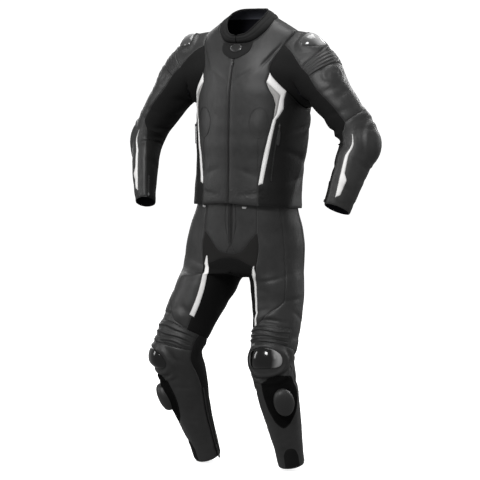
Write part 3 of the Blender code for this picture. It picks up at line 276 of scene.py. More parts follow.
# the left sleeve starts on the armhole and turns into its own sections
def sleevePoint(angle, station):
    place = smoothLoop(armholeRows, angle)
    shift = trunkPoint(place[..., 1], place[..., 2]) - section(sleeveRows, angle, station * 0, 1, sideways)
    upright = fade(station / armUpright)
    return section(sleeveRows, angle, station, upright, sideways) + shift * fade(station / armBlend)[..., None]


# the collar runs from the neck seam at rise 0 to its rim at rise 1
def collarPoint(angle, rise):
    folded = np.abs((angle + 180) % 360 - 180)
    seam = trunkPoint(angle, smooth(neckRows, folded)[0][..., 1])
    height = smooth(collarTopRows, folded)[0][..., 1]
    s, c = np.sin(np.radians(angle)), np.cos(np.radians(angle))
    rim = np.stack([collarHalfWidth * s, collarMiddle - collarHalfDepth * c, height], -1)
    belly = np.stack([s, -c, 0 * s], -1) * (collarBelly * np.sin(np.pi * rise))[..., None]
    return seam + (rim - seam) * rise[..., None] + belly


def hipPoint(angle, height):
    point = section(hipRows, angle, height, 1)
    nearness = np.abs(np.cos(np.radians(angle))) ** 3
    point[..., 2] -= crotchDrop * nearness * (1 - fade((0.78 - height) / 0.12))
    return point


# a leg's top edge: round the hip, then under the crotch
def legLoop(angle, side):
    turn = np.clip((angle - centreFront) / (centreBack - centreFront) * 180, 0, 180)
    outside = hipPoint(turn * side, loopHeight + 0 * angle) * np.array([side, 1, 1])
    under = np.clip((angle - centreBack) / (360 + centreFront - centreBack), 0, 1)
    back = hipPoint(np.array(180.0), np.array(loopHeight))
    front = hipPoint(np.array(0.0), np.array(loopHeight))
    arc = back + (front - back) * under[..., None]
    arc[..., 0] = 0
    arc[..., 2] -= crotchSag * np.sin(np.pi * under)
    return np.where((angle <= centreBack)[..., None], outside, arc)


# one trouser half as if it were the left one: hips above loopHeight, leg below it
def trouserPoint(side):
    table = leftLegRows if side == leftSide else rightLegRows

    def point(angle, station):
        angle = (angle - centreFront) % 360 + centreFront
        under = (angle > centreBack + 1) & (angle < centreFront + 359)
        asked = station
        station = np.where(under, np.minimum(asked, loopHeight), asked)
        lower = np.minimum(station, loopHeight)
        level = fade((loopHeight - lower) / levelBlend)
        shift = legLoop(angle, side) - section(table, angle, lower * 0 + loopHeight, 1)
        reach = legBlend + legBlendLoss * (np.sin(np.radians(angle)) - 1)
        leg = section(table, angle, lower, level) + shift * fade((loopHeight - lower) / reach)[..., None]
        roundHip = np.where(angle > centreBack + 2, angle - 360, angle) - centreFront
        turn = roundHip / (centreBack - centreFront) * 180
        hip = hipPoint(turn * side, np.maximum(station, loopHeight)) * np.array([side, 1, 1])
        leg[..., 2] += np.where(under, asked - station, 0)
        return np.where((station > loopHeight)[..., None], hip, leg)

    return point


# height of the pads and folds over a form
def relief(pads, folds):
    def height(angle, station):
        total = np.zeros(np.broadcast(angle, station).shape)
        for middle, at, halfAngle, halfLength, rise in pads:
            across = ((angle - middle + 180) % 360 - 180) / halfAngle
            along = (station - at) / halfLength
            total = total + rise * fade(np.sqrt(across**2 + along**2) * 1.15 - 0.15)
        for middle, at, halfAngle, halfLength, lean, rise in folds:
            across = ((angle - middle + 180) % 360 - 180) / halfAngle
            along = (station - at - lean * across) / halfLength
            total = total + rise * fade(np.abs(across)) * np.exp(-(along**2))
        return total

    return height


# a surface that pieces lie on, mirrored to the wearer's right where side is -1
class Form:
    def __init__(self, point, side=leftSide, height=None, down=-1.0):
        self.point, self.side, self.height, self.down = point, side, height, down

    def place(self, angle, station):
        angle, station = np.broadcast_arrays(np.asarray(angle, float), np.asarray(station, float))
        turn, step = 0.5, 0.0015
        across = self.point(angle + turn, station) - self.point(angle - turn, station)
        along = self.point(angle, station + step) - self.point(angle, station - step)
        normal = unit(np.cross(along, across)) * self.down
        point = self.point(angle, station) - np.array([0, 0, shoulderHeight])
        if self.height is not None:
            point = point + normal * self.height(angle, station)[..., None]
        flip = np.array([self.side, 1, 1])
        return point * flip, normal * flip


# Seams and patches. A seam is an array of (angle, station) places.


def line(parts, *points):
    points = np.array(points, float)
    if len(points) > 2:
        spans = np.diff(points * (angleLength, 1), axis=0)
        reach = np.concatenate([[0], np.cumsum(np.linalg.norm(spans, axis=1) + 1e-9)])
        dense = smooth(np.column_stack([reach, points]), np.linspace(0, reach[-1], 24 * len(points)))[0][:, 1:]
    else:
        dense = points[0] + (points[1] - points[0]) * np.linspace(0, 1, 24)[:, None]
    spans = np.diff(dense * (angleLength, 1), axis=0)
    reach = np.concatenate([[0], np.cumsum(np.linalg.norm(spans, axis=1) + 1e-12)])
    wanted = np.linspace(0, reach[-1], parts * fine + 1)
    return np.column_stack([np.interp(wanted, reach, dense[:, k]) for k in (0, 1)])


# a seam that runs straight from place to place
def corners(*points):
    points = np.array(points, float)
    runs = [a + (b - a) * np.linspace(0, 1, fine, endpoint=False)[:, None] for a, b in zip(points, points[1:])]
    return np.concatenate([*runs, points[-1:]])


# a seam of straight runs, in even steps
def bent(parts, *points):
    points = np.array(points, float)
    reach = np.concatenate([[0], np.linalg.norm(np.diff(points * (angleLength, 1), axis=0), axis=1).cumsum()])
    wanted = np.linspace(0, reach[-1], parts * fine + 1)
    return np.column_stack([np.interp(wanted, reach, points[:, k]) for k in (0, 1)])


# seams joined end to end
def chain(*seams):
    return np.concatenate([seams[0]] + [seam[1:] for seam in seams[1:]])


# the armhole between two sleeve angles, as places on the trunk
def armholeEdge(first, last, parts):
    return smoothLoop(armholeRows, np.linspace(first, last, parts * fine + 1))[:, 1:]


def mirrored(seam):
    return seam * (-1, 1)


# fills in between four seams: left and right run upwards, the others left to right
def patch(left, right, bottom, top):
    v = np.linspace(0, 1, len(left))[:, None, None]
    u = np.linspace(0, 1, len(bottom))[None, :, None]
    across = (1 - u) * left[:, None] + u * right[:, None]
    along = (1 - v) * bottom[None] + v * top[None]
    shared = (1 - u) * ((1 - v) * left[0] + v * left[-1]) + u * ((1 - v) * right[0] + v * right[-1])
    return across + along - shared


def level(first, last, station, parts):
    return line(parts, (first, station), (last, station))


def neckEdge(first, last, parts):
    angles = np.linspace(first, last, parts * fine + 1)
    return np.column_stack([angles, smooth(neckRows, np.minimum(angles, 360 - angles))[0][:, 1]])


# a trunk seam on the wearer's other side, as angles past the back
def otherSide(seam):
    return seam * (-1, 1) + (360, 0)


# a round patch, as a grid pulled into a disc; lean is its rise over the half angle
def oval(angle, station, halfAngle, halfLength, columns, rows, lean=0.0):
    u, v = np.meshgrid(np.linspace(-1, 1, columns * fine + 1), np.linspace(-1, 1, rows * fine + 1))
    across, along = u * np.sqrt(1 - v * v / 2), v * np.sqrt(1 - u * u / 2)
    return np.stack([angle + across * halfAngle, station + along * halfLength + lean * across], -1)


# ribs that run round a form and die out at both ends
def ribs(first, last, count, low, high, rise):
    def height(angles, stations):
        wave = 0.5 - 0.5 * np.cos(2 * np.pi * count * (stations - low) / (high - low))
        ends = np.clip(np.minimum(angles - first, last - angles) / 12, 0, 1)
        return rise * wave * ends

    return height


# Jacket seams, on the trunk. Those of the front, the insert and the side run from hem to armhole.
zipEdge = 0.7
zipTape = 2.4
hemFront = line(6, (zipEdge, 0.832), (31, 0.826))
hemSide = line(4, (31, 0.826), (76, 0.820))
hemBack = line(10, (76, 0.820), (105, 0.814), (180, 0.808), (255, 0.814), (284, 0.820))
frontLow = line(2, (31, 0.826), (31.5, 0.890))
insertFoot = line(2, (31.5, 0.890), (37, 0.895))
insertInner = line(5, (31.5, 0.890), (38, 0.985), (43, 1.050), (46, 1.090))
insertOuter = line(5, (37, 0.895), (44, 0.985), (48, 1.055), (50, 1.090))
wedgeFoot = corners((46, 1.090), (46, 1.090))
wedgeTip = corners((36, 1.206), (36, 1.206))
wedgeInner = corners(
    (46, 1.090), (46.5, 1.097), (47, 1.104), (48, 1.137), (45, 1.161), (39, 1.186), (36, 1.206)
)
wedgeOuter = corners((46, 1.090), (48, 1.099), (50, 1.108), (51.5, 1.136), (53, 1.165))
bandInner = corners((53, 1.165), (44.5, 1.186), (36, 1.206))
bandFoot = line(2, (53, 1.165), (60, 1.178))
bandTip = line(2, (36, 1.206), (39, 1.235))
whiteFoot = line(2, (46, 1.090), (50, 1.090))
whiteOuter = corners((50, 1.090), (54, 1.104), (58, 1.122), (58, 1.153), (60, 1.178))
sideSeam = line(13, (76, 0.820), (86, 0.876), (105, 0.976), (110, 1.060), (110, 1.134))
armholeFront = armholeEdge(-30, 90, 8)
armholeWhite = armholeEdge(-30, -60, 2)
armholeSide = armholeEdge(-60, -120, 4)
armholeBack = armholeEdge(240, 90, 10)
shoulderSeam = line(2, (90, 1.364), (90, 1.402))
neckFront = neckEdge(zipEdge, 90, 6)
neckBack = neckEdge(90, 270, 10)
zipLine = line(25, (zipEdge, 0.832), tuple(neckFront[0]))

jacketFrontGrid = patch(
    zipLine,
    chain(frontLow, insertInner, wedgeInner, bandTip, armholeFront, shoulderSeam),
    hemFront,
    neckFront,
)
whiteInsertGrids = (
    patch(insertInner, insertOuter, insertFoot, whiteFoot),
    patch(wedgeOuter, whiteOuter, whiteFoot, bandFoot),
    patch(bandInner, armholeWhite[::-1], bandFoot, bandTip),
)
wedgeGrid = patch(wedgeInner, chain(wedgeOuter, bandInner), wedgeFoot, wedgeTip)
jacketSideGrid = patch(
    chain(frontLow, insertFoot, insertOuter, whiteOuter), sideSeam, hemSide, armholeSide
)
backEdge = chain(sideSeam, armholeBack, shoulderSeam)
jacketBackGrid = patch(backEdge, otherSide(backEdge), hemBack, neckBack)
tapeLine = zipLine + (zipTape - zipEdge, 0)
frontZipGrid = patch(
    mirrored(tapeLine),
    tapeLine,
    level(-zipTape, zipTape, zipLine[0, 1], 1),
    level(-zipTape, zipTape, zipLine[-1, 1], 1),
)
neckRing = np.concatenate([neckFront, neckBack[1:], otherSide(neckFront)[::-1][1:]])[:, 0]
collarRises = np.linspace(0, 1, 3 * fine + 1)
collarGrid = np.stack([np.column_stack([neckRing, np.full(len(neckRing), rise)]) for rise in collarRises])

# Sleeve seams. Leather covers the shoulder, the outer arm and the forearm, and stretch cloth the rest.
capEnd = 0.100
ribEnd = 0.134
upperEnd = 0.300
cuffEnd = 0.590
cuffSlant = 0.009


def cuffAt(angle):
    return cuffEnd - cuffSlant * (1 + np.cos(np.radians(angle + 20)))


def cuffEdge(first, last, parts):
    angles = np.linspace(first, last, parts * fine + 1)
    return np.column_stack([angles, cuffAt(angles)])


capFront = line(3, (30, 0), (13, 0.058), (4, capEnd))
ribFront = line(1, (4, capEnd), (3, ribEnd))
upperFront = line(4, (3, ribEnd), (-3, 0.172), (-6, 0.250), (-16, upperEnd))
foreFront = line(8, (-16, upperEnd), (-50, 0.338), (-77, 0.430), (-80, 0.530), (-80, cuffAt(-80)))
capBack = line(3, (165, 0), (165, capEnd))
ribBack = line(1, (165, capEnd), (165, ribEnd))
upperBack = line(4, (165, ribEnd), (160, upperEnd))
foreBack = line(8, (160, upperEnd), (176, 0.345), (195, 0.430), (200, cuffAt(200)))
frontEdge = chain(capFront, ribFront, upperFront, foreFront)
stretchBack = chain(capBack, ribBack, upperBack, foreBack)
sleeveCapGrid = patch(capFront, capBack, level(30, 165, 0, 9), level(4, 165, capEnd, 9))
upperArmGrid = patch(upperFront, upperBack, level(3, 165, ribEnd, 9), level(-16, 160, upperEnd, 9))
forearmGrid = patch(foreFront, foreBack, level(-16, 160, upperEnd, 12), cuffEdge(-80, 200, 12))
sleeveStretchGrid = patch(
    stretchBack, frontEdge + (360, 0), level(165, 390, 0, 15), cuffEdge(200, 280, 15)
)
sleeveRibs = 5
sleeveRibGrid = patch(
    line(2 * sleeveRibs, (4, capEnd), (3, ribEnd)),
    line(2 * sleeveRibs, (165, capEnd), (165, ribEnd)),
    level(4, 165, capEnd, 9),
    level(3, 165, ribEnd, 9),
)

# Trouser seams. Each half runs from centre front round the outer side to centre back.
waistHeight = 0.880
kneeTop = 0.430
kneeLow = 0.378
hemHeight = 0.005
ribFirst = -105
ribLast = 60
shinBack = 105
innerKnee = {leftSide: -45, rightSide: -75}
flyEdge = line(3, (-12, 0.746), (-11, 0.810), (-8, waistHeight))
wingEdge = line(3, (-14, loopHeight), (-9, 0.712), (-12, 0.746))
flyFoot = line(4, (centreFront, 0.702), (-42, 0.708), (-27, 0.728), (-12, 0.746))
thighSide = line(12, (36, 0.511), (41, 0.589), (49, loopHeight), (49, 0.750), (47, waistHeight))
sideBack = line(12, (105, 0.511), (110, loopHeight), (110, waistHeight))
seatCentre = line(9, (centreBack, loopHeight), (centreBack, waistHeight))
innerBack = line(6, (225, kneeTop), (232, 0.540), (centreBack, loopHeight))
flyCentre = line(3, (centreFront, 0.702), (centreFront, waistHeight))
flyGrid = patch(flyCentre, flyEdge, flyFoot, level(centreFront, -8, waistHeight, 4))
# the arch parts the lighter gusset above from the inner thighs' painted shade below
archSeam = line(4, (centreFront, 0.694), (-47, 0.690), (-30, 0.676), (-14, loopHeight))
archGrid = patch(
    line(1, (centreFront, loopHeight), (centreFront, 0.694)),
    line(1, (-14, loopHeight), (-14, loopHeight)),
    level(centreFront, -14, loopHeight, 4),
    archSeam,
)
wingGrid = patch(line(3, (centreFront, 0.694), (centreFront, 0.702)), wingEdge, archSeam, flyFoot)
crotchRing = chain(level(-120, centreFront, loopHeight, 3), level(centreFront, -14, loopHeight, 4))
seatGrid = patch(
    chain(line(3, (105, kneeTop), (105, 0.511)), sideBack),
    chain(innerBack, seatCentre),
    level(105, 225, kneeTop, 6),
    level(110, centreBack, waistHeight, 6),
)


# the patches round the thigh, whose inner seam ends at another angle on each knee
def thighPatches(side):
    knee = innerKnee[side]
    inner = line(6, (knee, kneeTop), (0.5 * knee - 12, 0.540), (-24, 0.620), (-14, loopHeight))
    slant = line(6, (knee, kneeTop), (-17, 0.449), (1, 0.471), (24, 0.493), (36, 0.511))
    across = level(36, 105, 0.511, 4)
    overKnee = chain(level(knee, ribLast, kneeTop, 7), level(ribLast, shinBack, kneeTop, 3))
    front = patch(chain(inner, wingEdge, flyEdge), thighSide, slant, level(-8, 47, waistHeight, 6))
    outer = patch(thighSide, sideBack, across, level(47, 110, waistHeight, 4))
    lower = patch(
        line(3, (knee, kneeTop), (knee, kneeTop)),
        line(3, (shinBack, kneeTop), (105, 0.511)),
        overKnee,
        chain(slant, across),
    )
    beside = patch(
        line(2, (ribLast, kneeLow), (ribLast, kneeTop)),
        line(2, (shinBack, kneeLow), (shinBack, kneeTop)),
        level(ribLast, shinBack, kneeLow, 3),
        level(ribLast, shinBack, kneeTop, 3),
    )
    inside = patch(innerBack - (360, 0), inner, level(-135, knee, kneeTop, 7), crotchRing)
    return front, (outer, lower, beside), inside


kneeRibs = 7
kneeRibGrid = patch(
    line(2 * kneeRibs, (ribFirst, kneeLow), (ribFirst, kneeTop)),
    line(2 * kneeRibs, (ribLast, kneeLow), (ribLast, kneeTop)),
    level(ribFirst, ribLast, kneeLow, 9),
    level(ribFirst, ribLast, kneeTop, 9),
)


# the shin is divided more finely under the knee
def shinEdge(angle):
    return chain(line(6, (angle, hemHeight), (angle, 0.250)), line(7, (angle, 0.250), (angle, kneeLow)))


shinGrid = patch(
    shinEdge(-105), shinEdge(shinBack), level(-105, shinBack, hemHeight, 12), level(-105, shinBack, kneeLow, 12)
)
calfInner = chain(shinEdge(255), line(2, (255, kneeLow), (255, kneeTop)))
calfOuter = chain(shinEdge(shinBack), line(2, (shinBack, kneeLow), (shinBack, kneeTop)))
calfGrid = patch(calfOuter, calfInner, level(shinBack, 255, hemHeight, 7), level(shinBack, 255, kneeTop, 7))


# a narrow band along a line of places, halfWidth degrees to each side
def strip(rows, *points, halfWidth):
    middle = line(rows, *points)
    return patch(
        middle - (halfWidth, 0), middle + (halfWidth, 0), middle[0] + corners((-halfWidth, 0), (halfWidth, 0)),
        middle[-1] + corners((-halfWidth, 0), (halfWidth, 0)),
    )


sliderOval = (69, 0.070, 31, 0.021)
sliderLean = 0.011
kneeCapOval = (0, 0.343, 46, 0.021)
puckOval = (25, 0.228, 26, 0.042)
pocketLine = ((48, 0.904), (55, 1.078))
calfZipLine = ((250, 0.028), (252, 0.240))
cuffZipLine = ((-92, 0.500), (-90, 0.572))
flyZipLine = ((0, 0.724), (0, 0.872))

throatGrid = patch(
    line(3, (-4, 1.278), (-13, 1.296), (-17.5, 1.329)),
    line(3, (4, 1.278), (14, 1.296), (19, 1.332)),
    level(-4, 4, 1.278, 4),
    line(4, (-17.5, 1.329), (0, 1.322), (19, 1.332)),
)
hookPanelGrid = patch(
    line(5, (-12, 0.163), (-23, 0.210), (-28, 0.260), (-29, 0.295)),
    line(5, (30, 0.150), (62, 0.192), (79, 0.239), (71, 0.308)),
    line(8, (-12, 0.163), (10, 0.146), (30, 0.150)),
    line(8, (-29, 0.295), (-4, 0.307), (71, 0.308)),
)
forearmStripeGrid = patch(
    bent(8, (-18, 0.347), (-39, 0.422), (-38, 0.452), (-36, 0.491), (-31, 0.545)),
    bent(8, (-17, 0.352), (-29, 0.420), (-23, 0.470), (-9, 0.487), (-15, 0.533)),
    level(-18, -17, 0.347, 1),
    line(1, (-31, 0.545), (-15, 0.533)),
)
thighStripeGrids = {
    leftSide: patch(
        bent(10, (-45, 0.433), (-35, 0.540), (-24, 0.640), (-19, 0.668)),
        bent(10, (-37, 0.433), (-28, 0.540), (-17, 0.640), (-17, 0.668)),
        level(-45, -37, 0.433, 1),
        level(-19, -17, 0.668, 1),
    ),
    rightSide: patch(
        bent(10, (-71, 0.468), (-54, 0.540), (-31.5, 0.640), (-25, 0.666), (-22, 0.690)),
        bent(10, (-59, 0.468), (-43, 0.540), (-23.5, 0.640), (-17.5, 0.668), (-20, 0.690)),
        level(-71, -59, 0.468, 1),
        level(-22, -20, 0.690, 1),
    ),
}

print("forms and seams ready")


class Wire:
    # a number in a node tree, for use in Python expressions
    def __init__(self, tree, socket):
        self.tree, self.socket = tree, socket

    def math(self, operation, *others):
        return self.tree.node("ShaderNodeMath", {"operation": operation}, dict(enumerate((self, *others))))

    def __add__(self, other):
        return self.math("ADD", other)

    def __mul__(self, other):
        return self.math("MULTIPLY", other)

    def __sub__(self, other):
        return self.math("SUBTRACT", other)

    def __rsub__(self, other):
        return (self * -1) + other

    __radd__, __rmul__ = __add__, __mul__

    def rise(self, low, high):
        # 0 below low, 1 above high, smooth in between
        settings = {"interpolation_type": "SMOOTHSTEP"}
        values = {"Value": self, "From Min": low, "From Max": high, "To Min": 0.0, "To Max": 1.0}
        return self.tree.node("ShaderNodeMapRange", settings, values)


class NodeTree:
    def __init__(self, tree):
        self.tree = tree

    def node(self, kind, settings=None, sockets=None, output=0):
        made = self.tree.nodes.new(kind)
        for key, value in (settings or {}).items():
            setattr(made, key, value)
        for key, value in (sockets or {}).items():
            self.plug(made.inputs[key], value)
        return Wire(self, made.outputs[output])

    def plug(self, slot, value):
        if isinstance(value, Wire):
            self.tree.links.new(value.socket, slot)
        else:
            slot.default_value = value


class Finish(NodeTree):
    # a material on a Principled shader; sockets that are the same all over are set on the shader itself
    def __init__(self, name, **fixed):
        self.material = bpy.data.materials.new(name)
        self.material.use_nodes = True
        super().__init__(self.material.node_tree)
        self.shader = self.tree.nodes["Principled BSDF"]
        for key, value in fixed.items():
            self.shader.inputs[key.replace("_", " ")].default_value = value
        self.place = self.node("ShaderNodeTexCoord", output="Object")

    def noise(self, scale, detail=2.0, kind="FBM", distortion=0.0):
        values = {"Vector": self.place, "Scale": scale, "Detail": detail, "Distortion": distortion}
        return self.node("ShaderNodeTexNoise", {"noise_type": kind}, values)

    def cells(self, scale):
        return self.node("ShaderNodeTexVoronoi", {"feature": "F1"}, {"Vector": self.place, "Scale": scale})

    def attribute(self, name):
        return self.node("ShaderNodeAttribute", {"attribute_name": name}, output="Fac")

    def threads(self, pitch, turned=0.0):
        # lines across the cloth's own map, 0 to 1
        uv = self.node("ShaderNodeUVMap", {"uv_map": "cloth"})
        turn = self.node("ShaderNodeMapping", None, {"Vector": uv, "Rotation": (0, 0, turned)})
        along = self.node("ShaderNodeSeparateXYZ", None, {"Vector": turn}, output="X")
        return (along * (2 * math.pi / pitch)).math("SINE") * 0.5 + 0.5

    def mix(self, share, a, b):
        return self.node("ShaderNodeMix", {"data_type": "RGBA"}, {0: share, 6: a, 7: b}, output=2)

    def use(self, **sockets):
        for key, value in sockets.items():
            self.plug(self.shader.inputs[key.replace("_", " ")], value)

    def bump(self, height):
        # height in metres
        self.use(Normal=self.node("ShaderNodeBump", None, {"Height": height, "Strength": 1.0, "Distance": 1.0}))


def shade(value, warmth=0.0):
    return (value * (1 + warmth), value, value * (1 - warmth), 1)


def leather(name, dark, light, roughness, grain=0.00015, worn=0.05, crease=0.0016, gloss=0.42):
    # pressed grain, slow changes of shade, creases where it bends, and a folded edge at each seam
    made = Finish(name, Specular_IOR_Level=gloss)
    seam, flex = made.attribute("seam"), made.attribute("flex")
    cloudy, patchy = made.noise(7, 3), made.noise(55, 4)
    wrinkle = made.noise(70, 5, "RIDGED_MULTIFRACTAL", 0.6)
    pores = made.cells(950)
    edge = 1 - seam.rise(0.0, 0.0032)
    tone = made.mix((cloudy * 0.65 + patchy * 0.35).rise(0.25, 0.75), dark, light)
    tone = made.mix(edge * worn, tone, shade(0.20))
    made.use(Base_Color=tone, Roughness=patchy * 0.10 + cloudy * 0.08 + (roughness - 0.09) + flex * 0.05)
    groove = seam.rise(0.0, 0.0014) * 0.0006 + seam.rise(0.0012, 0.0045) * 0.0005
    made.bump(groove + pores * grain + patchy * 0.0003 + wrinkle * (flex * crease))
    return made.material


def stretchCloth(name, dark, light, pitch):
    made = Finish(name, Specular_IOR_Level=0.15)
    seam, flex = made.attribute("seam"), made.attribute("flex")
    weave = made.threads(pitch, 0.0) * made.threads(pitch, math.pi / 2)
    cloudy, fuzz = made.noise(9, 3), made.noise(900, 2)
    wrinkle = made.noise(60, 4, "RIDGED_MULTIFRACTAL", 0.4)
    made.use(Base_Color=made.mix((cloudy * 0.5 + weave * 0.3 + fuzz * 0.2).rise(0.1, 0.9), dark, light))
    made.use(Roughness=cloudy * 0.08 + 0.78)
    made.bump(weave * 0.00012 + seam.rise(0.0, 0.002) * 0.0005 + wrinkle * (flex * 0.0006))
    return made.material


def ribbed(name, dark, light):
    # leather gathered over elastic: pinholes in rows between the ribs
    made = Finish(name, Specular_IOR_Level=0.5)
    patchy = made.noise(60, 4)
    seam = made.attribute("seam")
    holes = (made.threads(0.0034) * made.threads(0.0034, math.pi / 2)).rise(0.72, 0.86)
    made.use(Base_Color=made.mix(holes * 0.7, made.mix(patchy, dark, light), shade(0.004)))
    made.use(Roughness=patchy * 0.12 + 0.46)
    made.bump(seam.rise(0.0, 0.003) * 0.0006 - holes * 0.0004 + made.cells(950) * 0.0001)
    return made.material


def hookTape(name):
    made = Finish(name, Specular_IOR_Level=0.04)
    hooks, cloudy = made.cells(1300), made.noise(18, 3)
    made.use(Base_Color=made.mix((hooks * 0.7 + cloudy * 0.3).rise(0.2, 0.9), shade(0.007), shade(0.002)))
    made.use(Roughness=cloudy * 0.06 + 0.88)
    made.bump(hooks * -0.0006)
    return made.material


def hardShell(name, body, glow, low, high):
    # a moulded gloss shell, lighter towards one edge: on the knee cap this grey is a painted reflection, on the
    # shoulder slider it is partly the shell's own smoky silver and partly painted sheen
    made = Finish(name, Coat_Roughness=0.04, Specular_IOR_Level=0.3)
    uv = made.node("ShaderNodeUVMap", {"uv_map": "cloth"})
    across = made.node("ShaderNodeSeparateXYZ", None, {"Vector": uv}, output="X")
    scuffs = made.noise(140, 4)
    sheenAndTintShare = (across + made.noise(30, 2) * 0.12).rise(low, high)
    made.use(Base_Color=made.mix(sheenAndTintShare, body, glow), Roughness=scuffs * 0.10 + 0.10, Coat_Weight=0.7 - scuffs * 0.2)
    made.bump(made.noise(420, 2) * 0.00002)
    return made.material


def moulded(name, dark, light, roughness):
    made = Finish(name)
    speck = made.noise(700, 3)
    made.use(Base_Color=made.mix(speck, dark, light), Roughness=made.noise(30, 3) * 0.15 + (roughness - 0.07))
    made.bump(speck * 0.00006)
    return made.material


def tapeCloth(name):
    made = Finish(name, Specular_IOR_Level=0.3)
    weave = made.threads(0.0012) * made.threads(0.0012, math.pi / 2)
    made.use(Base_Color=made.mix(weave, shade(0.006), shade(0.018)), Roughness=made.noise(20, 2) * 0.1 + 0.62)
    made.bump(weave * 0.0001)
    return made.material


def metal(name, dark, light):
    made = Finish(name, Metallic=1.0)
    brushed = made.noise(500, 3)
    made.use(Base_Color=made.mix(brushed, dark, light), Roughness=brushed * 0.2 + 0.25)
    made.bump(brushed * 0.00002)
    return made.material


finishes = {
    "leather": leather("blackLeather", shade(0.0145), shade(0.0265), 0.45),
    "side": leather("sideLeather", shade(0.0035), shade(0.0070), 0.60, gloss=0.20),
    "white": leather("whiteLeather", shade(0.84, 0.012), shade(0.93, 0.010), 0.42, 0.00004, 0.30),
    "grey": leather("greyLeather", shade(0.34, 0.02), shade(0.44, 0.02), 0.44, 0.00005, 0.10),
    "stretch": stretchCloth("stretchCloth", shade(0.0055), shade(0.0105), 0.0016),
    # the inner thighs' stretch is a darker copy of the stretch cloth, painted shade where the thighs turn under; the
    # gusset knit is lighter, partly its own tone and partly painted light where it faces forward
    "innerStretch": stretchCloth("innerStretch", shade(0.0026), shade(0.0048), 0.0016),
    "gusset": stretchCloth("gussetKnit", shade(0.0120, 0.03), shade(0.0190, 0.03), 0.0016),
    "collarKnit": stretchCloth("collarKnit", shade(0.011), shade(0.020), 0.0012),
    "rib": ribbed("ribbedLeather", shade(0.009), shade(0.016)),
    "hook": hookTape("hookTape"),
    "zip": tapeCloth("zipTape"),
    "teeth": moulded("zipTeeth", shade(0.012), shade(0.030), 0.35),
    "thread": moulded("thread", shade(0.008), shade(0.020), 0.60),
    "lining": stretchCloth("lining", (0.006, 0.006, 0.009, 1), (0.012, 0.012, 0.016, 1), 0.0030),
    "collarLining": stretchCloth("collarLining", (0.050, 0.053, 0.066, 1), (0.080, 0.083, 0.098, 1), 0.0016),
    # the knee shell's grey edge is a painted reflection; the shoulder shell's silver edge is partly its own tint and
    # partly painted sheen
    "capShell": hardShell("kneeShell", shade(0.002), shade(0.34), 0.45, 0.85),
    "sliderShell": hardShell("shoulderShell", shade(0.06), shade(0.45), -0.60, 0.40),
    "puck": moulded("puckRubber", shade(0.010), shade(0.020), 0.50),
    "badge": moulded("badgeRubber", shade(0.010), shade(0.020), 0.30),
    "pull": moulded("pullRubber", shade(0.008), shade(0.018), 0.50),
    "metal": metal("darkMetal", shade(0.10), shade(0.22)),
    "clip": metal("brightMetal", shade(0.60), shade(0.80)),
    "whiteThread": moulded("whiteThread", shade(0.50), shade(0.66), 0.60),
}
print("materials ready")

# Creases over the forms' larger folds. Columns: angle, station, half angle, half length, lean, height.
sleeveCreases = (
    (22, 0.196, 58, 0.006, 0.012, -0.0016),
    (48, 0.222, 48, 0.007, -0.014, -0.0013),
    (-12, 0.262, 46, 0.006, 0.016, -0.0016),
    (96, 0.280, 52, 0.006, -0.012, -0.0016),
    (62, 0.322, 44, 0.0035, 0.004, -0.0022),
    (40, 0.345, 50, 0.004, 0.008, -0.0012),
    (120, 0.350, 46, 0.006, 0.010, -0.0020),
    (140, 0.388, 40, 0.006, -0.008, -0.0018),
    (30, 0.432, 54, 0.005, 0.010, -0.0012),
    (70, 0.468, 50, 0.006, -0.008, -0.0011),
    (-20, 0.505, 60, 0.006, 0.012, -0.0012),
    (60, 0.548, 62, 0.005, -0.006, -0.0014),
    (-70, 0.165, 46, 0.009, 0.026, -0.0026),
    (-95, 0.285, 48, 0.008, 0.016, -0.0026),
    (-60, 0.400, 44, 0.007, 0.010, -0.0020),
    (-100, 0.455, 46, 0.008, -0.012, -0.0018),
    (170, 0.060, 40, 0.010, -0.020, -0.0024),
)
legCreases = (
    (20, 0.600, 58, 0.009, 0.020, -0.0012),
    (-30, 0.560, 46, 0.009, -0.018, -0.0014),
    (60, 0.520, 50, 0.008, 0.016, -0.0012),
    (-35, 0.476, 50, 0.005, 0.012, -0.0018),
    (8, 0.449, 58, 0.0045, -0.006, -0.0022),
    (85, 0.470, 42, 0.008, -0.016, -0.0018),
    (95, 0.415, 44, 0.007, 0.012, -0.0020),
    (110, 0.372, 40, 0.007, -0.010, -0.0024),
    (-70, 0.352, 34, 0.006, 0.012, -0.0016),
    (0, 0.310, 66, 0.0045, 0.004, -0.0026),
    (-60, 0.262, 44, 0.008, 0.014, -0.0014),
    (90, 0.270, 50, 0.008, -0.012, -0.0015),
    (-50, 0.150, 56, 0.008, 0.010, -0.0014),
    (60, 0.118, 50, 0.007, -0.008, -0.0013),
    (0, 0.074, 70, 0.006, 0.006, -0.0013),
    (-90, 0.618, 42, 0.012, 0.034, -0.0030),
    (205, 0.560, 48, 0.014, -0.024, -0.0028),
    (215, 0.640, 44, 0.014, 0.022, -0.0028),
)
trunkCreases = (
    (14, 1.230, 16, 0.010, 0.030, -0.0009),
    (40, 1.290, 16, 0.007, 0.050, -0.0022),
    (66, 1.215, 16, 0.008, 0.034, -0.0020),
    (72, 1.130, 22, 0.009, 0.028, -0.0020),
    (86, 1.060, 24, 0.008, 0.020, -0.0018),
    (80, 0.985, 26, 0.009, -0.016, -0.0016),
    (92, 0.905, 26, 0.009, 0.014, -0.0016),
    (18, 0.930, 18, 0.010, -0.018, -0.0008),
    (22, 0.862, 22, 0.008, 0.010, -0.0010),
    (125, 1.120, 34, 0.012, 0.040, -0.0024),
    (150, 1.020, 40, 0.013, -0.026, -0.0020),
    (205, 0.930, 44, 0.012, 0.022, -0.0020),
    (180, 1.360, 60, 0.012, 0.000, -0.0018),
)
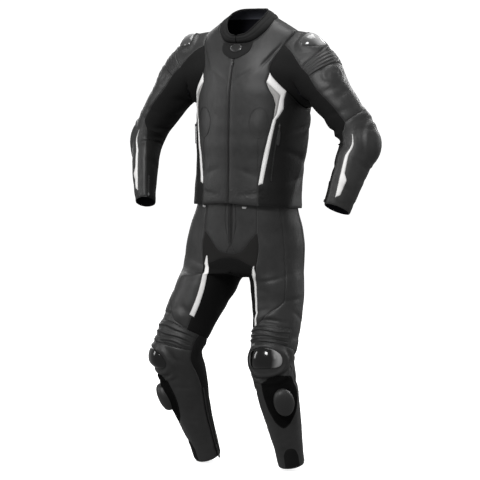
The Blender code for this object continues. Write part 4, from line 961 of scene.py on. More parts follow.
# Where cloth bends when it is worn. Columns: angle, station, half angle, half length.
sleeveFlex = ((-70, 0.345, 130, 0.090), (60, 0.318, 70, 0.030), (-40, 0.080, 120, 0.090), (30, 0.540, 150, 0.060))
legFlex = ((180, 0.380, 130, 0.090), (0, 0.440, 90, 0.045), (-80, 0.620, 90, 0.080), (0, 0.090, 180, 0.080))
trunkFlex = ((80, 1.180, 40, 0.130), (95, 0.930, 60, 0.100), (20, 0.860, 60, 0.040))
# Padded rolls round the hard pieces. Columns: angle, station, half angle, half length, lean, height, width.
sleeveRolls = (
    (69, 0.070, 37, 0.026, 0.011, 0.0032, 0.14),
    (56, 0.160, 26, 0.020, 0.002, 0.0028, 0.20),
    (60, 0.378, 44, 0.046, 0.0, 0.0020, 0.11),
)
legRolls = ((2, 0.341, 56, 0.027, 0.0, 0.0050, 0.15), (4, 0.334, 64, 0.045, 0.0, 0.0030, 0.10))

creaseDepth = 1.9  # how much deeper than in the tables
unevenness = 0.0005
# Where the filled cloth stands a little fuller. Columns: angle, station, half angle, half length, height.
legFills = {
    leftSide: ((122, 0.700, 60, 0.130, 0.007), (-58, 0.330, 50, 0.120, 0.004)),
    rightSide: ((238, 0.340, 80, 0.200, 0.017), (58, 0.715, 60, 0.130, 0.011)),
}
trunkFills = {leftSide: ((122, 1.000, 45, 0.170, 0.007),), rightSide: ()}


def spread(zones):
    # 0 to 1 over the zones where cloth bends
    def share(angle, station):
        total = np.zeros(np.broadcast(angle, station).shape)
        for middle, at, halfAngle, halfLength in zones:
            across = ((angle - middle + 180) % 360 - 180) / halfAngle
            total = np.maximum(total, fade(np.hypot(across, (station - at) / halfLength)))
        return total

    return share


# Where a laid-on stripe holds the cloth smooth. Columns: angle, station, half angle, half length.
sleeveCalm = ((-28, 0.450, 24, 0.130),)
legCalm = ((-32, 0.560, 26, 0.150),)


def dressed(pads, folds, creases, rolls=(), calm=()):
    # the form's relief with its creases, padded rolls and the slight unevenness of leather
    base = relief(pads, folds)
    finer = relief((), tuple((*row[:5], row[5] * creaseDepth) for row in creases))
    held = spread(calm)

    def height(angle, station):
        total = base(angle, station) + finer(angle, station) * (1 - 0.9 * held(angle, station))
        for middle, at, halfAngle, halfLength, lean, rise, width in rolls:
            across = ((angle - middle + 180) % 360 - 180) / halfAngle
            reach = np.hypot(across, (station - at - lean * across) / halfLength)
            total = total + rise * np.exp(-(((reach - 1) / width) ** 2)) - 0.4 * rise * np.exp(
                -(((reach - 1 - 2.2 * width) / (0.8 * width)) ** 2)
            )
        turn = np.radians(angle)
        uneven = np.sin(3 * turn + 41 * station) * np.sin(67 * station - 2 * turn + 0.8)
        uneven = uneven + 0.6 * np.sin(7 * turn - 53 * station + 1.9) * np.sin(31 * station + 4 * turn)
        return total + unevenness * uneven

    return height


def clothForms(side):
    flat = relief((), ())
    return {
        "trunk": Form(trunkPoint, side, dressed(trunkPads + trunkFills[side], trunkFolds, trunkCreases)),
        "sleeve": Form(
            sleevePoint, side, dressed(sleevePads, sleeveFolds, sleeveCreases, sleeveRolls, sleeveCalm), 1.0
        ),
        "collar": Form(collarPoint, side, flat),
        "hips": Form(hipPoint, side, flat),
        "trousers": Form(
            trouserPoint(side), side, dressed(legPads + legFills[side], legFolds, legCreases, legRolls, legCalm)
        ),
    }


flexOf = {"trunk": spread(trunkFlex), "sleeve": spread(sleeveFlex), "trousers": spread(legFlex)}
flexOf["collar"] = flexOf["hips"] = spread(())
formsOf = {side: clothForms(side) for _, side in sides}


def gridQuads(place, normal):
    # the faces of a grid of places, turned to face outwards
    rows, columns = place.shape[:2]
    index = np.arange(rows * columns).reshape(rows, columns)
    quad = np.stack([index[:-1, :-1], index[:-1, 1:], index[1:, 1:], index[1:, :-1]], -1).reshape(-1, 4)
    flat, around = place.reshape(-1, 3), normal.reshape(-1, 3)
    facing = np.cross(flat[quad[:, 2]] - flat[quad[:, 0]], flat[quad[:, 3]] - flat[quad[:, 1]])
    return quad[:, ::-1] if np.sum(facing * around[quad[:, 0]]) < 0 else quad


def rimOf(quads, count):
    # the edges that lie on one face alone
    ends = np.concatenate([quads[:, [k, (k + 1) % 4]] for k in range(4)])
    ends = ends[ends[:, 0] != ends[:, 1]]
    return ends[~np.isin(ends[:, 0] * count + ends[:, 1], ends[:, 1] * count + ends[:, 0])]


seamReach = 0.02


class Cloth:
    # patches of one piece, welded along their shared edges into one open sheet
    # its width is that of the widest patch, its length the sum of the patches' lengths
    def __init__(self, side, *parts):
        points, normals, places, maps, flex, quads, start = [], [], [], [], [], [], 0
        self.width = self.length = 0.0
        for kind, grid in parts:
            place, normal = formsOf[side][kind].place(grid[..., 0], grid[..., 1])
            across = np.linalg.norm(np.diff(place, axis=1, prepend=place[:, :1]), axis=-1).cumsum(axis=1)
            along = np.linalg.norm(np.diff(place, axis=0, prepend=place[:1]), axis=-1).cumsum(axis=0)
            self.width = max(self.width, across[:, -1].max())
            self.length += along[-1].max()
            middle = across - across[:, -1:] / 2
            quads.append(gridQuads(place, normal) + start)
            points.append(place.reshape(-1, 3))
            normals.append(normal.reshape(-1, 3))
            places.append(grid.reshape(-1, 2))
            maps.append(np.stack([middle, along], -1).reshape(-1, 2))
            flex.append(flexOf[kind](grid[..., 0], grid[..., 1]).reshape(-1))
            start += grid.shape[0] * grid.shape[1]
        points, normals = np.concatenate(points), np.concatenate(normals)
        _, first, index = np.unique(np.round(points, 5), axis=0, return_index=True, return_inverse=True)
        index = index.reshape(-1)
        summed = np.zeros((len(first), 3))
        np.add.at(summed, index, normals)
        self.points, self.normals = points[first], unit(summed)
        self.places, self.maps = np.concatenate(places)[first], np.concatenate(maps)[first]
        self.flex = np.concatenate(flex)[first]
        quads = index[np.concatenate(quads)]
        same = (quads == np.roll(quads, 1, axis=1)).sum(axis=1)
        self.quads = quads[same < 2]
        self.findRim()

    def findRim(self):
        # the open edges, and each point's distance from them, up to seamReach
        self.rim = rimOf(self.quads, len(self.points))
        a, b = self.points[self.rim[:, 0]], self.points[self.rim[:, 1]]
        marks = np.concatenate([a + (b - a) * t for t in (0, 0.25, 0.5, 0.75)])
        tree = KDTree(len(marks))
        for k, mark in enumerate(marks):
            tree.insert(mark, k)
        tree.balance()
        self.seam = np.minimum([tree.find(point)[2] for point in self.points], seamReach)

    def area(self):
        p = self.points[self.quads]
        return float(np.linalg.norm(np.cross(p[:, 2] - p[:, 0], p[:, 3] - p[:, 1]), axis=1).sum() / 2)

    def stitchLine(self, inset):
        # the edge's runs, moved inwards along the cloth
        way = unit(self.points[self.rim[:, 1]] - self.points[self.rim[:, 0]])
        inward = np.cross(self.normals[self.rim[:, 0]], way)
        total = np.zeros_like(self.points)
        np.add.at(total, self.rim[:, 0], inward)
        np.add.at(total, self.rim[:, 1], inward)
        used, index = np.unique(self.rim, return_inverse=True)
        moved = self.points[used] + unit(total[used]) * inset - self.normals[used] * 0.0003
        return moved, self.normals[used], index.reshape(-1, 2)


def openFaces(quads):
    # a quad with two corners in one place becomes a triangle
    return [list(dict.fromkeys(quad)) for quad in quads.tolist()]


def linked(name, data):
    thing = bpy.data.objects.new(name, data)
    bpy.context.scene.collection.objects.link(thing)
    return thing


def meshFrom(name, points, faces, maps, materials, materialOf, **attributes):
    mesh = bpy.data.meshes.new(name)
    mesh.from_pydata([tuple(point) for point in points.tolist()], [], faces)
    for material in materials:
        mesh.materials.append(material)
    mesh.polygons.foreach_set("material_index", np.asarray(materialOf, dtype=np.int32))
    layer = mesh.uv_layers.new(name="cloth")
    corner = np.zeros(len(mesh.loops), dtype=np.int32)
    mesh.loops.foreach_get("vertex_index", corner)
    layer.data.foreach_set("uv", maps[corner].astype(np.float32).ravel())
    for key, values in attributes.items():
        mesh.attributes.new(key, "FLOAT", "POINT").data.foreach_set("value", values.astype(np.float32))
    mesh.shade_smooth()
    mesh.set_sharp_from_angle(angle=math.radians(55))
    mesh.update()
    return linked(name, mesh)


pieceOf, clothOf = {}, {}


def put(thing, node=None, body="suit"):
    if node:
        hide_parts(node)
    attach(thing, body)
    return thing


foldedEdge = {"drop": 0.0012, "width": 0.0042}
# a narrow cloth width, set against each piece's width in shell(). It takes no width
# below 10 mm, and narrower cloth than this isn't declared.
narrowTape = 0.012
# It takes an area of 0.3 to 1 times width times length. A cut that fills less than this share of its
# rectangle is declared narrower than it measures.
leastShare = 0.36


def pieceName(node):
    # jacket_front_L becomes jacketFront_L
    first, *rest = node.split("_")
    rest = rest if len(rest) > 1 or len("".join(rest)) > 1 else ["cloth", *rest]  # so that no name is a node's own
    return first + "".join(f"_{word}" if len(word) == 1 else word.capitalize() for word in rest)


def shell(name, cloth, finish, wall, lift=0.0, crown=None, seamDrop=foldedEdge["drop"], lining="lining", slot=None):
    # a closed thin wall whose outer side carries the creases; its edges are folded down at the seams
    raised = np.full(len(cloth.points), lift) - seamDrop * np.exp(-((cloth.seam / foldedEdge["width"]) ** 2))
    if crown is not None:
        raised = raised + crown(cloth.places[:, 0], cloth.places[:, 1])
    outer = cloth.points + cloth.normals * raised[:, None]
    inner = cloth.points + cloth.normals * (np.minimum(raised, lift) - wall)[:, None]
    count = len(outer)
    outside = openFaces(cloth.quads)
    faces = outside + openFaces(cloth.quads[:, ::-1] + count)
    faces += [[b, a, a + count, b + count] for a, b in cloth.rim.tolist()]
    materialOf = [0] * len(outside) + [1] * len(outside) + [0] * len(cloth.rim)
    attributes = {"seam": np.tile(cloth.seam, 2), "flex": np.tile(cloth.flex, 2)}
    materials = [finishes[finish], finishes[lining]]
    points, maps = np.concatenate([outer, inner]), np.tile(cloth.maps, (2, 1))
    thing = meshFrom(pieceName(name), points, faces, maps, materials, materialOf, **attributes)
    pieceOf[name], clothOf[name] = thing, cloth
    put(thing, None if slot else name)
    area, width, length = cloth.area(), cloth.width, cloth.length
    width *= min(area / (width * length) / leastShare, 1.0)
    width > narrowTape
    return thing


walls = {"leather": 0.0024, "stretch": 0.0018}


collarFold = {"rise": 0.52, "width": 0.05, "depth": 0.0016, "roll": 0.0020}
# Soft folds over the knee. Columns: station, half length, height.
kneeFoldRows = ((0.420, 0.0050, 0.0034), (0.404, 0.0055, 0.0040), (0.388, 0.0045, 0.0030))


def padding(angles, rises):
    # the collar's roll, with one fold halfway up
    roll = collarFold["roll"] * np.sin(np.pi * np.clip(rises, 0, 1)) ** 0.6
    return roll - collarFold["depth"] * np.exp(-(((rises - collarFold["rise"]) / collarFold["width"]) ** 2))


def kneeFolds(angles, stations):
    # fine ribs over soft folds that wander and run out at the sides
    wander = 0.0022 * np.sin(np.radians(angles) * 2.2 + 0.6) + 0.0012 * np.sin(np.radians(angles) * 5 + stations * 90)
    height = ribs(ribFirst, ribLast, kneeRibs, kneeLow, kneeTop, 0.0010)(angles, stations + wander)
    for station, halfLength, rise in kneeFoldRows:
        ends = np.clip(np.minimum(angles - ribFirst, ribLast - angles) / 26, 0, 1)
        height = height + rise * ends * np.exp(-(((stations + 1.6 * wander - station) / halfLength) ** 2))
    return height


def buildCloth():
    back, collar = Cloth(leftSide, ("trunk", jacketBackGrid)), Cloth(leftSide, ("collar", collarGrid))
    shell("jacket_back", back, "leather", walls["leather"])
    shell("collar", collar, "collarKnit", walls["leather"], crown=padding, lining="collarLining")
    frontZip = Cloth(leftSide, ("trunk", frontZipGrid))
    shell("front_zip", frontZip, "zip", walls["stretch"], lift=-0.0012, seamDrop=0.0)
    for name, patchOf, finish, wall in (
        # the inner thighs and the arch patch carry painted shade, the gusset a lighter knit with painted light
        ("inner_thighs", lambda side: (thighPatches(side)[2], archGrid), "innerStretch", "stretch"),
        ("fly_front", lambda side: (flyGrid,), "leather", "leather"),
        ("crotch_gusset", lambda side: (wingGrid,), "gusset", "stretch"),
    ):
        halves = [Cloth(side, *(("trousers", grid) for grid in patchOf(side))) for _, side in sides]
        shell(name, joined(halves), finish, walls[wall])
    sleeveCrown = ribs(4, 165, sleeveRibs, capEnd, ribEnd, 0.0013)
    for mark, side in sides:
        front, outer, _ = thighPatches(side)
        for name, kind, grids, finish, crown in (
            ("jacket_front", "trunk", [jacketFrontGrid], "leather", None),
            ("chest_insert", "trunk", whiteInsertGrids, "white", None),
            ("chest_wedge", "trunk", [wedgeGrid], "grey", None),
            ("jacket_side", "trunk", [jacketSideGrid], "side", None),
            ("sleeve_cap", "sleeve", [sleeveCapGrid], "leather", None),
            ("sleeve_rib", "sleeve", [sleeveRibGrid], "rib", sleeveCrown),
            ("upper_arm", "sleeve", [upperArmGrid], "leather", None),
            ("forearm", "sleeve", [forearmGrid], "leather", None),
            ("sleeve_stretch", "sleeve", [sleeveStretchGrid], "stretch", None),
            ("thigh_front", "trousers", [front], "leather", None),
            ("thigh_side", "trousers", list(outer), "leather", None),
            ("seat", "trousers", [seatGrid], "leather", None),
            ("knee_rib", "trousers", [kneeRibGrid], "rib", kneeFolds),
            ("shin", "trousers", [shinGrid], "leather", None),
            ("calf", "trousers", [calfGrid], "stretch", None),
        ):
            wall = walls["stretch" if finish == "stretch" else "leather"]
            shell(f"{name}_{mark}", Cloth(side, *((kind, grid) for grid in grids)), finish, wall, crown=crown)


def joined(halves):
    # two halves of one piece, welded along the middle of the trousers
    whole, other = halves
    count, near = len(whole.points), 0.004
    keys = [tuple(np.round(place, 4)) for place in whole.places]
    known = {key: k for k, key in enumerate(keys) if abs(whole.points[k, 0]) < near}
    index = np.arange(count, count + len(other.points))
    for k, place in enumerate(other.places):
        twin = known.get(tuple(np.round(place, 4)), -1)
        if twin >= 0 and abs(other.points[k, 0]) < near:
            index[k] = twin
            whole.points[twin] = (whole.points[twin] + other.points[k]) / 2
            whole.normals[twin] = unit(whole.normals[twin] + other.normals[k])
            whole.points[twin, 0] = whole.normals[twin, 0] = 0
    for key in ("points", "normals", "places", "maps", "flex"):
        setattr(whole, key, np.concatenate([getattr(whole, key), getattr(other, key)]))
    whole.quads = np.concatenate([whole.quads, index[other.quads]])
    used, whole.quads = np.unique(whole.quads, return_inverse=True)
    whole.quads = whole.quads.reshape(-1, 4)
    for key in ("points", "normals", "places", "maps", "flex"):
        setattr(whole, key, getattr(whole, key)[used])
    whole.findRim()
    whole.width *= 2
    return whole


buildCloth()
print("cloth shells:", len(pieceOf))

trimSizes = {"gap": 0.0004, "stripe": 0.0008, "panel": 0.0014, "zip": 0.0009}


def rounded(grid, amount):
    # a grid pulled in at its corners
    rows, columns = grid.shape[:2]
    v, u = np.meshgrid(np.linspace(-1, 1, rows), np.linspace(-1, 1, columns), indexing="ij")
    s, t = u * np.sqrt(1 - amount * v**2), v * np.sqrt(1 - amount * u**2)
    i, j = (t + 1) / 2 * (rows - 1), (s + 1) / 2 * (columns - 1)
    i0, j0 = np.clip(i.astype(int), 0, rows - 2), np.clip(j.astype(int), 0, columns - 2)
    a, b = (i - i0)[..., None], (j - j0)[..., None]
    low = grid[i0, j0] * (1 - b) + grid[i0, j0 + 1] * b
    high = grid[i0 + 1, j0] * (1 - b) + grid[i0 + 1, j0 + 1] * b
    return low * (1 - a) + high * a


def trim(name, side, kind, grid, finish, wall, slot=None):
    lift = trimSizes["gap"] + wall
    return shell(name, Cloth(side, (kind, grid)), finish, wall, lift=lift, seamDrop=0.0004, lining=finish, slot=slot)


def buildTrims():
    trim("throat_patch", leftSide, "trunk", rounded(throatGrid, 0.12), "collarKnit", 0.0016)
    trim("fly_zip", leftSide, "hips", strip(6, *flyZipLine, halfWidth=1.3), "zip", trimSizes["zip"])
    for mark, side in sides:
        trim(f"forearm_stripe_{mark}", side, "sleeve", forearmStripeGrid, "white", trimSizes["stripe"])
        trim(f"thigh_stripe_{mark}", side, "trousers", thighStripeGrids[side], "white", trimSizes["stripe"])
        trim(f"pocket_zip_{mark}", side, "trunk", strip(5, *pocketLine, halfWidth=1.1), "zip", trimSizes["zip"])
        trim(f"calf_zip_{mark}", side, "trousers", strip(6, *calfZipLine, halfWidth=3.2), "zip", trimSizes["zip"])
        trim(f"cuff_zip_{mark}", side, "sleeve", strip(3, *cuffZipLine, halfWidth=5), "zip", trimSizes["zip"])
        trim(f"knee_panel_{mark}", side, "trousers", rounded(hookPanelGrid, 0.22), "hook", trimSizes["panel"])


buildTrims()
print("trims laid on")


def capShape(size, flatFoot):
    # an oval grid whose lower side is drawn straighter
    angle, station, halfAngle, halfLength = size
    grid = oval(angle, station, halfAngle, halfLength, 8, 5)
    across, along = (grid[..., 0] - angle) / halfAngle, (grid[..., 1] - station) / halfLength
    lower = np.clip(-along, 0, 1)
    grid[..., 1] += flatFoot * halfLength * lower * (1 - across**2) * 0.6
    return grid


def hardPiece(name, side, kind, grid, finish, lift, wall, rise, bevel, slot=None):
    # a crowned shell with a rolled edge
    place, normal = formsOf[side][kind].place(grid[..., 0], grid[..., 1])
    rows, columns = grid.shape[:2]
    v, u = np.meshgrid(np.linspace(-1, 1, rows), np.linspace(-1, 1, columns), indexing="ij")
    reach = np.hypot(u * np.sqrt(1 - v * v / 2), v * np.sqrt(1 - u * u / 2))
    crown = wall * np.sqrt(np.clip(1 - np.clip((reach - 1 + bevel) / bevel, 0, 1) ** 2, 0, 1)) + rise * (1 - reach**2)
    outer = place + normal * (lift + crown)[..., None]
    inner = place + normal * lift
    count = rows * columns
    quad = gridQuads(outer, normal)
    faces = quad.tolist() + (quad[:, ::-1] + count).tolist()
    faces += [[b, a, a + count, b + count] for a, b in rimOf(quad, count).tolist()]
    maps = np.stack([u, v], -1).reshape(-1, 2)
    points = np.concatenate([outer.reshape(-1, 3), inner.reshape(-1, 3)])
    thing = meshFrom(pieceName(name), points, faces, np.tile(maps, (2, 1)), [finishes[finish]], [0] * len(faces))
    pieceOf[name] = thing
    return put(thing) if slot else put(thing, name)


# The hard pieces: how far each stands off its form, its wall, its crown and its rolled edge as a share.
armourSizes = {
    "slider": (0.0006, 0.0022, 0.0060, 0.12),
    "cap": (0.0008, 0.0026, 0.0080, 0.12),
    "puck": (trimSizes["gap"] + trimSizes["panel"] + 0.0006, 0.012, 0.010, 0.30),
    "badge": (0.0030, 0.0012, 0.0010, 0.30),
}
capFoot = 0.75


def buildArmour():
    for mark, side in sides:
        slider = oval(*sliderOval, 6, 5, sliderLean)
        hardPiece(f"shoulder_slider_{mark}", side, "sleeve", slider, "sliderShell", *armourSizes["slider"])
        cap = capShape(kneeCapOval, capFoot)
        hardPiece(f"knee_cap_{mark}", side, "trousers", cap, "capShell", *armourSizes["cap"])
        puck = oval(*puckOval, 6, 6)
        hardPiece(f"knee_puck_{mark}", side, "trousers", puck, "puck", *armourSizes["puck"])


buildArmour()
print("armour placed")


class NodeGroup(NodeTree):
    # a geometry tree with named inputs
    def __init__(self, name, **inputs):
        super().__init__(bpy.data.node_groups.new(name, "GeometryNodeTree"))
        face = self.tree.interface
        face.new_socket("Geometry", in_out="INPUT", socket_type="NodeSocketGeometry")
        for key, value in inputs.items():
            kind = {float: "NodeSocketFloat", int: "NodeSocketInt"}.get(type(value), "NodeSocketMaterial")
            socket = face.new_socket(key, in_out="INPUT", socket_type=kind)
            if kind != "NodeSocketMaterial":
                socket.default_value = value
        face.new_socket("Geometry", in_out="OUTPUT", socket_type="NodeSocketGeometry")
        self.inlet = self.tree.nodes.new("NodeGroupInput")
        self.outlet = self.tree.nodes.new("NodeGroupOutput")

    def given(self, key):
        return Wire(self, self.inlet.outputs[key])

    def finishWith(self, geometry):
        real = self.node("GeometryNodeRealizeInstances", None, {0: geometry})
        painted = self.node("GeometryNodeSetMaterial", None, {0: real, "Material": self.given("Material")})
        self.plug(self.outlet.inputs[0], painted)


def rowOf(name, build, **inputs):
    # a tree that sets one small shape at even steps along every run of edges
    group = NodeGroup(name, Pitch=1.0, **inputs, Material=None)
    curve = group.node("GeometryNodeMeshToCurve", None, {0: group.given("Geometry")})
    curve = group.node("GeometryNodeResampleCurve", {"mode": "LENGTH"}, {0: curve, "Length": group.given("Pitch")})
    way = group.node("GeometryNodeInputTangent")
    turned = group.node("FunctionNodeAlignEulerToVector", {"axis": "X"}, {"Vector": way})
    out = group.node("GeometryNodeInputNamedAttribute", {"data_type": "FLOAT_VECTOR"}, {"Name": "out"})
    turned = group.node(
        "FunctionNodeAlignEulerToVector", {"axis": "Z", "pivot_axis": "X"}, {"Rotation": turned, "Vector": out}
    )
    shape, scale = build(group)
    points = group.node(
        "GeometryNodeInstanceOnPoints", None, {0: curve, "Instance": shape, "Rotation": turned, "Scale": scale}
    )
    group.finishWith(points)
    return group.tree


def vectorOf(group, x, y, z):
    return group.node("ShaderNodeCombineXYZ", None, {"X": x, "Y": y, "Z": z})


def stitchShape(group):
    bead = group.node("GeometryNodeMeshUVSphere", None, {"Segments": 4, "Rings": 3, "Radius": 0.5})
    return bead, vectorOf(group, group.given("Length"), group.given("Thread"), group.given("Thread"))


def toothShape(group):
    block = group.node("GeometryNodeMeshCube", None, {"Size": (1, 1, 1)})
    return block, vectorOf(group, group.given("Tooth"), group.given("Reach"), group.given("Height"))


stitchTree = rowOf("stitchRow", stitchShape, Length=1.0, Thread=1.0)
toothTree = rowOf("toothRow", toothShape, Tooth=1.0, Reach=1.0, Height=1.0)


def grow(name, tree, points, outs, edges, finish, **inputs):
    # runs the tree on loose edges and keeps the result as a plain mesh
    mesh = bpy.data.meshes.new(name + "Path")
    mesh.from_pydata([tuple(point) for point in points.tolist()], edges.tolist(), [])
    mesh.attributes.new("out", "FLOAT_VECTOR", "POINT").data.foreach_set("vector", outs.astype(np.float32).ravel())
    carrier = linked(name + "Carrier", mesh)
    modifier = carrier.modifiers.new("row", "NODES")
    modifier.node_group = tree
    sockets = {row.name: row.identifier for row in tree.interface.items_tree if row.in_out == "INPUT"}
    for key, value in {**inputs, "Material": finishes[finish]}.items():
        modifier[sockets[key]] = value
    result = bpy.data.meshes.new_from_object(carrier.evaluated_get(bpy.context.evaluated_depsgraph_get()))
    carrier.modifiers.clear()
    bpy.data.objects.remove(carrier)
    result.name = name
    return linked(name, result)


stitchSizes = {"Pitch": 0.0046, "Length": 0.0034, "Thread": 0.0009}
stitchInset = 0.0032


def sewn(name, pieces, finish, inset=stitchInset, sizes=stitchSizes):
    points, outs, edges, start = [], [], [], 0
    for piece in pieces:
        moved, normals, runs = clothOf[piece].stitchLine(inset)
        ground = BVHTree.FromPolygons(
            [vertex.co for vertex in pieceOf[piece].data.vertices],
            [tuple(face.vertices) for face in pieceOf[piece].data.polygons if face.material_index == 0],
        )
        for k, point in enumerate(moved):
            hit = ground.find_nearest(Vector(point))
            moved[k] = np.array(hit[0]) + normals[k] * sizes["Thread"] * 0.15
        points.append(moved)
        outs.append(normals)
        edges.append(runs + start)
        start += len(moved)
    joinedPoints = [np.concatenate(part) for part in (points, outs, edges)]
    return put(grow(name, stitchTree, *joinedPoints, finish, **sizes))


def buildStitches():
    def both(*names):
        return [f"{name}_{mark}" for name in names for mark, _ in sides]

    sewn("jacketStitches", ["jacket_back", *both("jacket_front", "jacket_side", "chest_wedge")], "thread")
    sewn("sleeveStitches", both("sleeve_cap", "sleeve_rib", "upper_arm", "forearm"), "thread")
    sewn("trouserStitches", ["fly_front", *both("thigh_front", "thigh_side", "seat")], "thread")
    sewn("shinStitches", both("shin", "knee_rib"), "thread")
    sewn("insertStitches", both("chest_insert"), "whiteThread")
    sewn("stripeStitches", both("thigh_stripe", "forearm_stripe"), "whiteThread", 0.0016)
    sewn("panelStitches", ["throat_patch", *both("knee_panel")], "thread", 0.0022)


buildStitches()
print("stitches sewn")

zipTeeth = {"Pitch": 0.0024, "Tooth": 0.0012, "Reach": 0.0022, "Height": 0.0012}
rowOffset = 0.0011


def teeth(name, side, kind, places, lift):
    # two rows of teeth along the middle of a zip, half a pitch out of step
    place, normal = formsOf[side][kind].place(places[:, 0], places[:, 1])
    way = unit(np.gradient(place, axis=0))
    across = np.cross(normal, way)
    rows = [place + normal * lift + across * rowOffset * k + way * zipTeeth["Pitch"] / 4 * k for k in (-1, 1)]
    count = len(places)
    runs = np.stack([np.arange(count - 1), np.arange(1, count)], -1)
    points, outs = np.concatenate(rows), np.tile(normal, (2, 1))
    edges = np.concatenate([runs, runs + count])
    return put(grow(name, toothTree, points, outs, edges, "teeth", **zipTeeth))


# The blocks of a slider: lower plate, neck, upper plate and the bridge that holds the pull.
# Columns: shares of its width, length and height, and the block's rise as a share of the height.
sliderBlocks = ((1.0, 1.0, 0.34, 0.17), (0.35, 0.45, 0.5, 0.5), (1.0, 1.0, 0.30, 0.85), (0.30, 0.62, 0.36, 1.15))
# Outer sizes of the sliders and clips: width, length and height.
sliderSizes = {
    "front": (0.0075, 0.0110, 0.0030),
    "fly": (0.0075, 0.0110, 0.0030),
    "pocket": (0.0060, 0.0095, 0.0022),
    "calf": (0.0065, 0.0100, 0.0022),
    "cuff": (0.0060, 0.0095, 0.0022),
    "clip": (0.016, 0.006, 0.0022),
}


def sliderBody(name, side, kind, place, lift, size, finish="metal"):
    at, normal = formsOf[side][kind].place(*place)
    below, _ = formsOf[side][kind].place(place[0], place[1] - 0.01)
    down = unit(below - at)
    down = unit(down - normal * (down @ normal))
    across = np.cross(down, normal)
    width, length, height = size
    mesh = bmesh.new()
    for wide, long, high, rise in sliderBlocks:
        made = bmesh.ops.create_cube(mesh, size=1.0)["verts"]
        for vertex in made:
            taper = 1 - 0.35 * (vertex.co.y > 0) * (wide == 1.0)
            x, y, z = vertex.co.x * wide * width * taper, vertex.co.y * long * length, vertex.co.z * high * height
            vertex.co = Vector(at + across * x + down * y + normal * (z + rise * height + lift))
    bmesh.ops.bevel(mesh, geom=mesh.edges[:], offset=0.0003, segments=2, affect="EDGES")
    bmesh.ops.recalc_face_normals(mesh, faces=mesh.faces[:])
    data = bpy.data.meshes.new(name)
    mesh.to_mesh(data)
    mesh.free()
    data.materials.append(finishes[finish])
    return put(linked(name, data))


def buildZips():
    zipTop = trimSizes["gap"] + trimSizes["zip"] + 0.0002
    teeth("frontTeeth", leftSide, "trunk", line(25, (0, 0.834), (0, 1.320)), -0.0006)
    teeth("flyTeeth", leftSide, "hips", line(6, *flyZipLine), zipTop)
    sliderBody("frontSlider", leftSide, "trunk", (0, 1.262), 0.0, sliderSizes["front"])
    sliderBody("flySlider", leftSide, "hips", (0, 0.866), zipTop, sliderSizes["fly"])
    for mark, side in sides:
        teeth(f"pocketTeeth_{mark}", side, "trunk", line(8, *pocketLine), zipTop)
        teeth(f"calfTeeth_{mark}", side, "trousers", line(10, *calfZipLine), zipTop)
        teeth(f"cuffTeeth_{mark}", side, "sleeve", line(4, *cuffZipLine), zipTop)
        sliderBody(f"pocketSlider_{mark}", side, "trunk", (54.8, 1.070), zipTop, sliderSizes["pocket"])
        sliderBody(f"calfSlider_{mark}", side, "trousers", (250.1, 0.040), zipTop, sliderSizes["calf"])
        sliderBody(f"cuffSlider_{mark}", side, "sleeve", (-90.2, 0.566), zipTop, sliderSizes["cuff"])


buildZips()
print("zips closed")

# A pull's outline, as shares of its length and width: the neck's end, the shoulder after it and the gripped part.
pullSizes = {"neck": 0.42, "neckEnd": 0.22, "shoulder": 0.20, "gripStart": 0.44, "gripLength": 0.48, "gripDepth": 0.14}
pullGrips = 9
pullRows, pullAround = 56, 16


def tubeFaces(rows, around):
    # faces between rings of points, closed at both ends
    index = np.arange(rows * around).reshape(rows, around)
    beside = np.roll(index, -1, axis=1)
    faces = np.stack([index[:-1], beside[:-1], beside[1:], index[1:]], -1).reshape(-1, 4).tolist()
    return faces + [index[0, ::-1].tolist(), index[-1].tolist()]


def buildPulls():
    # each pull hangs from its hinge: a narrow neck, then a rounded tab with grip ribs
    neck, neckEnd, shoulder, gripStart, gripLength, gripDepth = pullSizes.values()
    for joint in frame["joints"]:
        name = joint["child"]
        pivot, axis = np.array(joint["pos_m"]), unit(np.array(joint["axis"]))
        block = np.array([vertex.co for vertex in frame["nodes"][name].data.vertices]) - pivot
        down = block.mean(axis=0)
        down = unit(down - axis * (down @ axis))
        out = np.cross(axis, down)
        top, length = (block @ down).min(), np.ptp(block @ down)
        halfWidth, halfWall = np.abs(block @ axis).max(), np.ptp(block @ out) / 2
        middle = (block @ out).min() + halfWall
        t = np.linspace(0, 1, pullRows)
        wide = neck + (1 - neck) * (1 - fade((t - neckEnd) / shoulder))
        upperEnd, lowerEnd = 1 - np.minimum(t / 0.06, 1), np.clip((t - 0.90) / 0.10, 0, 1)
        ends = np.sqrt(np.clip(1 - upperEnd**2, 0, 1) * np.clip(1 - lowerEnd**2, 0, 1))
        ribbing = 0.5 - 0.5 * np.cos(2 * np.pi * pullGrips * (t - gripStart) / gripLength)
        wave = 1 - gripDepth * ribbing * ((t > gripStart) & (t < gripStart + gripLength))
        turn = np.linspace(0, 2 * np.pi, pullAround, endpoint=False)
        c, s = np.cos(turn), np.sin(turn)
        rimX, rimY = np.sign(c) * np.abs(c) ** 0.6, np.sign(s) * np.abs(s) ** 0.6
        rings = (
            down * (top + t * length)[:, None, None]
            + axis * (halfWidth * wide * (0.25 + 0.75 * ends))[:, None, None] * rimX[None, :, None]
            + out * (middle + (halfWall * wave * (0.35 + 0.65 * ends))[:, None] * rimY[None])[..., None]
        )
        faces = tubeFaces(pullRows, pullAround)
        points = rings.reshape(-1, 3) + pivot
        maps = np.stack([np.tile(turn, pullRows), np.repeat(t, pullAround)], -1)
        thing = meshFrom(pieceName(name), points, faces, maps, [finishes["pull"]], [0] * len(faces))
        outwards(thing)
        put(thing, name, name)


def outwards(thing):
    mesh = bmesh.new()
    mesh.from_mesh(thing.data)
    bmesh.ops.recalc_face_normals(mesh, faces=mesh.faces[:])
    mesh.to_mesh(thing.data)
    mesh.free()


buildPulls()


